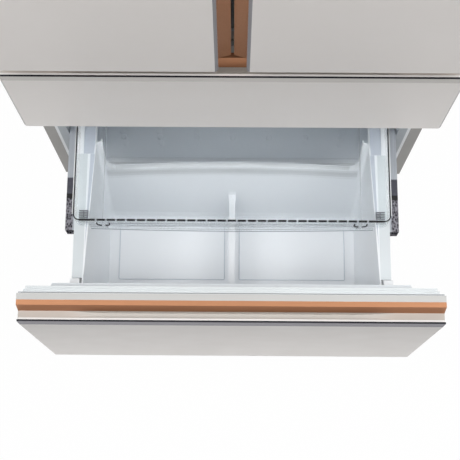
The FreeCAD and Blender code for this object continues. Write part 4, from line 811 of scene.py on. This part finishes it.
def seal_ribs(front, body, travel):
    """Ribs of a front's magnetic seal: one round its base and one round the narrower bulb."""
    bead = 1.3
    corner = 4.0
    base = {"inset": 0.4, "share": 0.22}
    bulb = {"inset": 4.4, "share": 0.72}
    (x0, x1), (y0, y1), (z0, z1) = local_box(front + "_gasket", travel)
    piece = Piece(travel)
    for rib in (base, bulb):
        inset = rib["inset"]
        y = y0 + (y1 - y0) * rib["share"]
        outline = rounded(x0 + inset, x1 - inset, z0 + inset, z1 - inset, corner)
        piece.tube(upright(outline, y), bead, REAR, closed=True)
    piece.finish(front + "_seal_ribs", body, LOOKS["seal"])


def front_seam(front, body, liner, travel):
    """Grey line at the joint between a front's core and its inner liner, painted shadow of the gap."""
    bead = 1.0
    corner = 2.0
    behind = 2.2
    (x0, x1), (y0, _), (z0, z1) = local_box(liner, travel)
    outline = rounded(x0, x1, z0, z1, corner)
    piece = Piece(travel)
    piece.tube(upright(outline, y0 + behind), bead, REAR, closed=True)
    piece.finish(front + "_seam", body, SEAM_SHADOW)


# Fresh food room and rear


def door_bin_rims(door):
    """Rolled rims on the three bins of a door."""
    bins = 3
    pitch = 260.0
    height = 105.0
    bead = 2.2
    wall = 3.0
    corner = 26.0 - wall / 2
    (x0, x1), (y0, y1), (z0, _) = local_box(door + "_bins")
    left = x0 + wall / 2
    right = x1 - wall / 2
    front = y1 - wall / 2
    outline = [(right, y0 + wall)]
    outline += arc(right - corner, front - corner, corner, 0, 90)
    outline += arc(left + corner, front - corner, corner, 90, 180)
    outline.append((left, y0 + wall))
    piece = Piece()
    for i in range(bins):
        piece.tube(level(outline, z0 + i * pitch + height), bead)
    piece.finish(door + "_bin_rims", door, RIM_TRIM)


def fresh_food_lights():
    """Upright lamp covers on both side walls and a wide one under the ceiling."""
    wall_x = 399.0
    ceiling = 1717.0
    sunk = 0.5
    side_thick = 2.4
    side_y = (176.0, 198.0)
    side_z = (950.0, 1690.0)
    top_thick = 4.5
    top_x = (-150.0, 150.0)
    top_y = (228.0, 312.0)
    piece = Piece()
    for side in SIDES:
        piece.bar((side * (wall_x - side_thick), side * (wall_x + sunk)), side_y, side_z, ease=0.9)
    piece.bar(top_x, top_y, (ceiling - top_thick, ceiling + sunk), ease=1.6)
    piece.finish("fresh_food_lights", "cabinet", LAMP_COVER)


def air_tower():
    """Air duct up the rear wall, with three slots above each shelf."""
    half = 88.0
    front = 727.0
    rear = 740.5
    low = 1146.0
    high = 1694.0
    shelves = (1130.0, 1330.0, 1530.0)
    slots_each = 3
    slot_half = 58.0
    slot_h = 5.0
    slot_y = (front - 0.5, front + 2.0)
    slot_rise = 96.0
    slot_pitch = 15.0
    duct = Piece()
    duct.bar((-half, half), (front, rear), (low, high), ease=4.0)
    duct.finish("air_tower", "cabinet", LOOKS["white_liner"])
    slots = Piece()
    for shelf in shelves:
        for i in range(slots_each):
            z = shelf + slot_rise + i * slot_pitch
            slots.bar((-slot_half, slot_half), slot_y, (z, z + slot_h), ease=0.2)
    slots.finish("air_slots", "cabinet", LOOKS["dark_plastic"])


def rear_screws():
    """Screws round the rear panel and the machine cover."""
    inset = 12.0
    spacing = 190.0
    radius = 4.2
    piece = Piece()
    for node in ("back_panel", "machine_cover"):
        (x0, x1), (_, back), (z0, z1) = local_box(node)
        columns = even_places(x0, x1, inset, spacing)
        rows = even_places(z0, z1, inset, spacing)
        for x in columns:
            for z in rows:
                if x in (columns[0], columns[-1]) or z in (rows[0], rows[-1]):
                    piece.screw((x, back, z), REAR, radius)
    piece.finish("rear_screws", "cabinet", SCREW)


tray_rim()
tray_rim_edges()
tray_corners()
tray_fascia_lines()
tray_grips()
bin_floor_lines()
rim_lanes()
rim_glides()
bin_back_band()
for front, (body, liner, travel) in FRONTS.items():
    seal_ribs(front, body, travel)
    front_seam(front, body, liner, travel)
for door in ("left_door", "right_door"):
    door_bin_rims(door)
fresh_food_lights()
air_tower()
rear_screws()


# Stage, light and camera

AMBIENT = 0.18
FLOOR_HALF = 12.0
FLOOR_GREY = 0.7
FLOOR_WHITE = 0.985

# Place, target, width and height, watts
LIGHTS = {
    "top": ((-0.1, -1.4, 3.9), (0, -0.5, 0.2), (2.4, 1.4), 34.0),
    "left": ((-2.2, -1.0, 3.2), (0, -0.5, 0.3), (1.6, 1.6), 46.0),
    "right": ((2.2, -1.0, 3.2), (0, -0.5, 0.3), (1.6, 1.6), 44.0),
    "front": ((-0.4, -4.4, 1.7), (0, -0.2, 0.7), (3.0, 2.0), 46.0),
    "rear": ((2.6, 3.0, 3.2), (0, 0.2, 0.9), (2.4, 2.0), 50.0),
}


def shown_white(nodes, links):
    """1 where the ray comes from the camera, a reflection or through clear plastic, and else 0."""
    path = nodes.new("ShaderNodeLightPath")
    shown = path.outputs["Is Camera Ray"]
    for kind in ("Is Glossy Ray", "Is Transmission Ray"):
        either = nodes.new("ShaderNodeMath")
        either.operation = "MAXIMUM"
        links.new(shown, either.inputs[0])
        links.new(path.outputs[kind], either.inputs[1])
        shown = either.outputs[0]
    return shown


def make_world():
    """White surroundings that light the object only faintly."""
    world = bpy.data.worlds.new("studio")
    bpy.context.scene.world = world
    world.use_nodes = True
    nodes = world.node_tree.nodes
    links = world.node_tree.links
    background = nodes["Background"]
    background.inputs["Color"].default_value = grey(1.0)
    strength = nodes.new("ShaderNodeMapRange")
    strength.inputs["To Min"].default_value = AMBIENT
    strength.inputs["To Max"].default_value = 1.0
    links.new(shown_white(nodes, links), strength.inputs["Value"])
    links.new(strength.outputs["Result"], background.inputs["Strength"])


def make_floor():
    """Floor that shows almost white and lights the object as a grey one does."""
    mesh = bpy.data.meshes.new("floor")
    outline = ((-1, -1), (1, -1), (1, 1), (-1, 1))
    mesh.from_pydata([(x * FLOOR_HALF, y * FLOOR_HALF, 0) for x, y in outline], [], [(0, 1, 2, 3)])
    floor = bpy.data.objects.new("floor", mesh)
    bpy.context.scene.collection.objects.link(floor)
    material = bpy.data.materials.new("floor")
    material.use_nodes = True
    nodes = material.node_tree.nodes
    links = material.node_tree.links
    nodes.remove(nodes["Principled BSDF"])
    diffuse = nodes.new("ShaderNodeBsdfDiffuse")
    diffuse.inputs["Color"].default_value = grey(FLOOR_GREY)
    glow = nodes.new("ShaderNodeEmission")
    blend = nodes.new("ShaderNodeMixShader")
    share = nodes.new("ShaderNodeMapRange")
    share.inputs["To Max"].default_value = FLOOR_WHITE
    links.new(shown_white(nodes, links), share.inputs["Value"])
    links.new(share.outputs["Result"], blend.inputs["Fac"])
    links.new(diffuse.outputs[0], blend.inputs[1])
    links.new(glow.outputs[0], blend.inputs[2])
    links.new(blend.outputs[0], nodes["Material Output"].inputs["Surface"])
    mesh.materials.append(material)


def area_light(name, at, target, size, power):
    """Soft rectangular light turned to its target."""
    data = bpy.data.lights.new(name, "AREA")
    data.shape = "RECTANGLE"
    data.size = size[0]
    data.size_y = size[1]
    data.energy = power
    light = bpy.data.objects.new(name, data)
    light.location = at
    light.rotation_mode = "QUATERNION"
    light.rotation_quaternion = (Vector(target) - Vector(at)).to_track_quat("-Z", "Y")
    light.visible_camera = False
    bpy.context.scene.collection.objects.link(light)


def make_camera():
    """Camera at its place, turned by a yaw, a pitch below the level and a roll."""
    yaw, pitch, roll = (math.radians(v) for v in (CAMERA_YAW, CAMERA_PITCH, CAMERA_ROLL))
    c, s = math.cos(yaw), math.sin(yaw)
    sideways = Vector((c, s, 0))
    above = Vector((-s * math.sin(pitch), c * math.sin(pitch), math.cos(pitch)))
    back = Vector((s * math.cos(pitch), -c * math.cos(pitch), math.sin(pitch)))
    right = math.cos(roll) * sideways + math.sin(roll) * above
    up = math.cos(roll) * above - math.sin(roll) * sideways
    data = bpy.data.cameras.new("camera")
    data.lens = CAMERA_LENS
    data.sensor_width = CAMERA_SENSOR
    data.clip_start = 0.05
    data.clip_end = 100.0
    camera = bpy.data.objects.new("camera", data)
    turn = Matrix((right, up, back)).transposed().to_4x4()
    camera.matrix_world = Matrix.Translation(CAMERA_AT) @ turn
    bpy.context.scene.collection.objects.link(camera)
    bpy.context.scene.camera = camera


make_world()
make_floor()
for name, (at, target, size, power) in LIGHTS.items():
    area_light(name, at, target, size, power)
make_camera()

bpy.context.scene.view_settings.view_transform = "Standard"
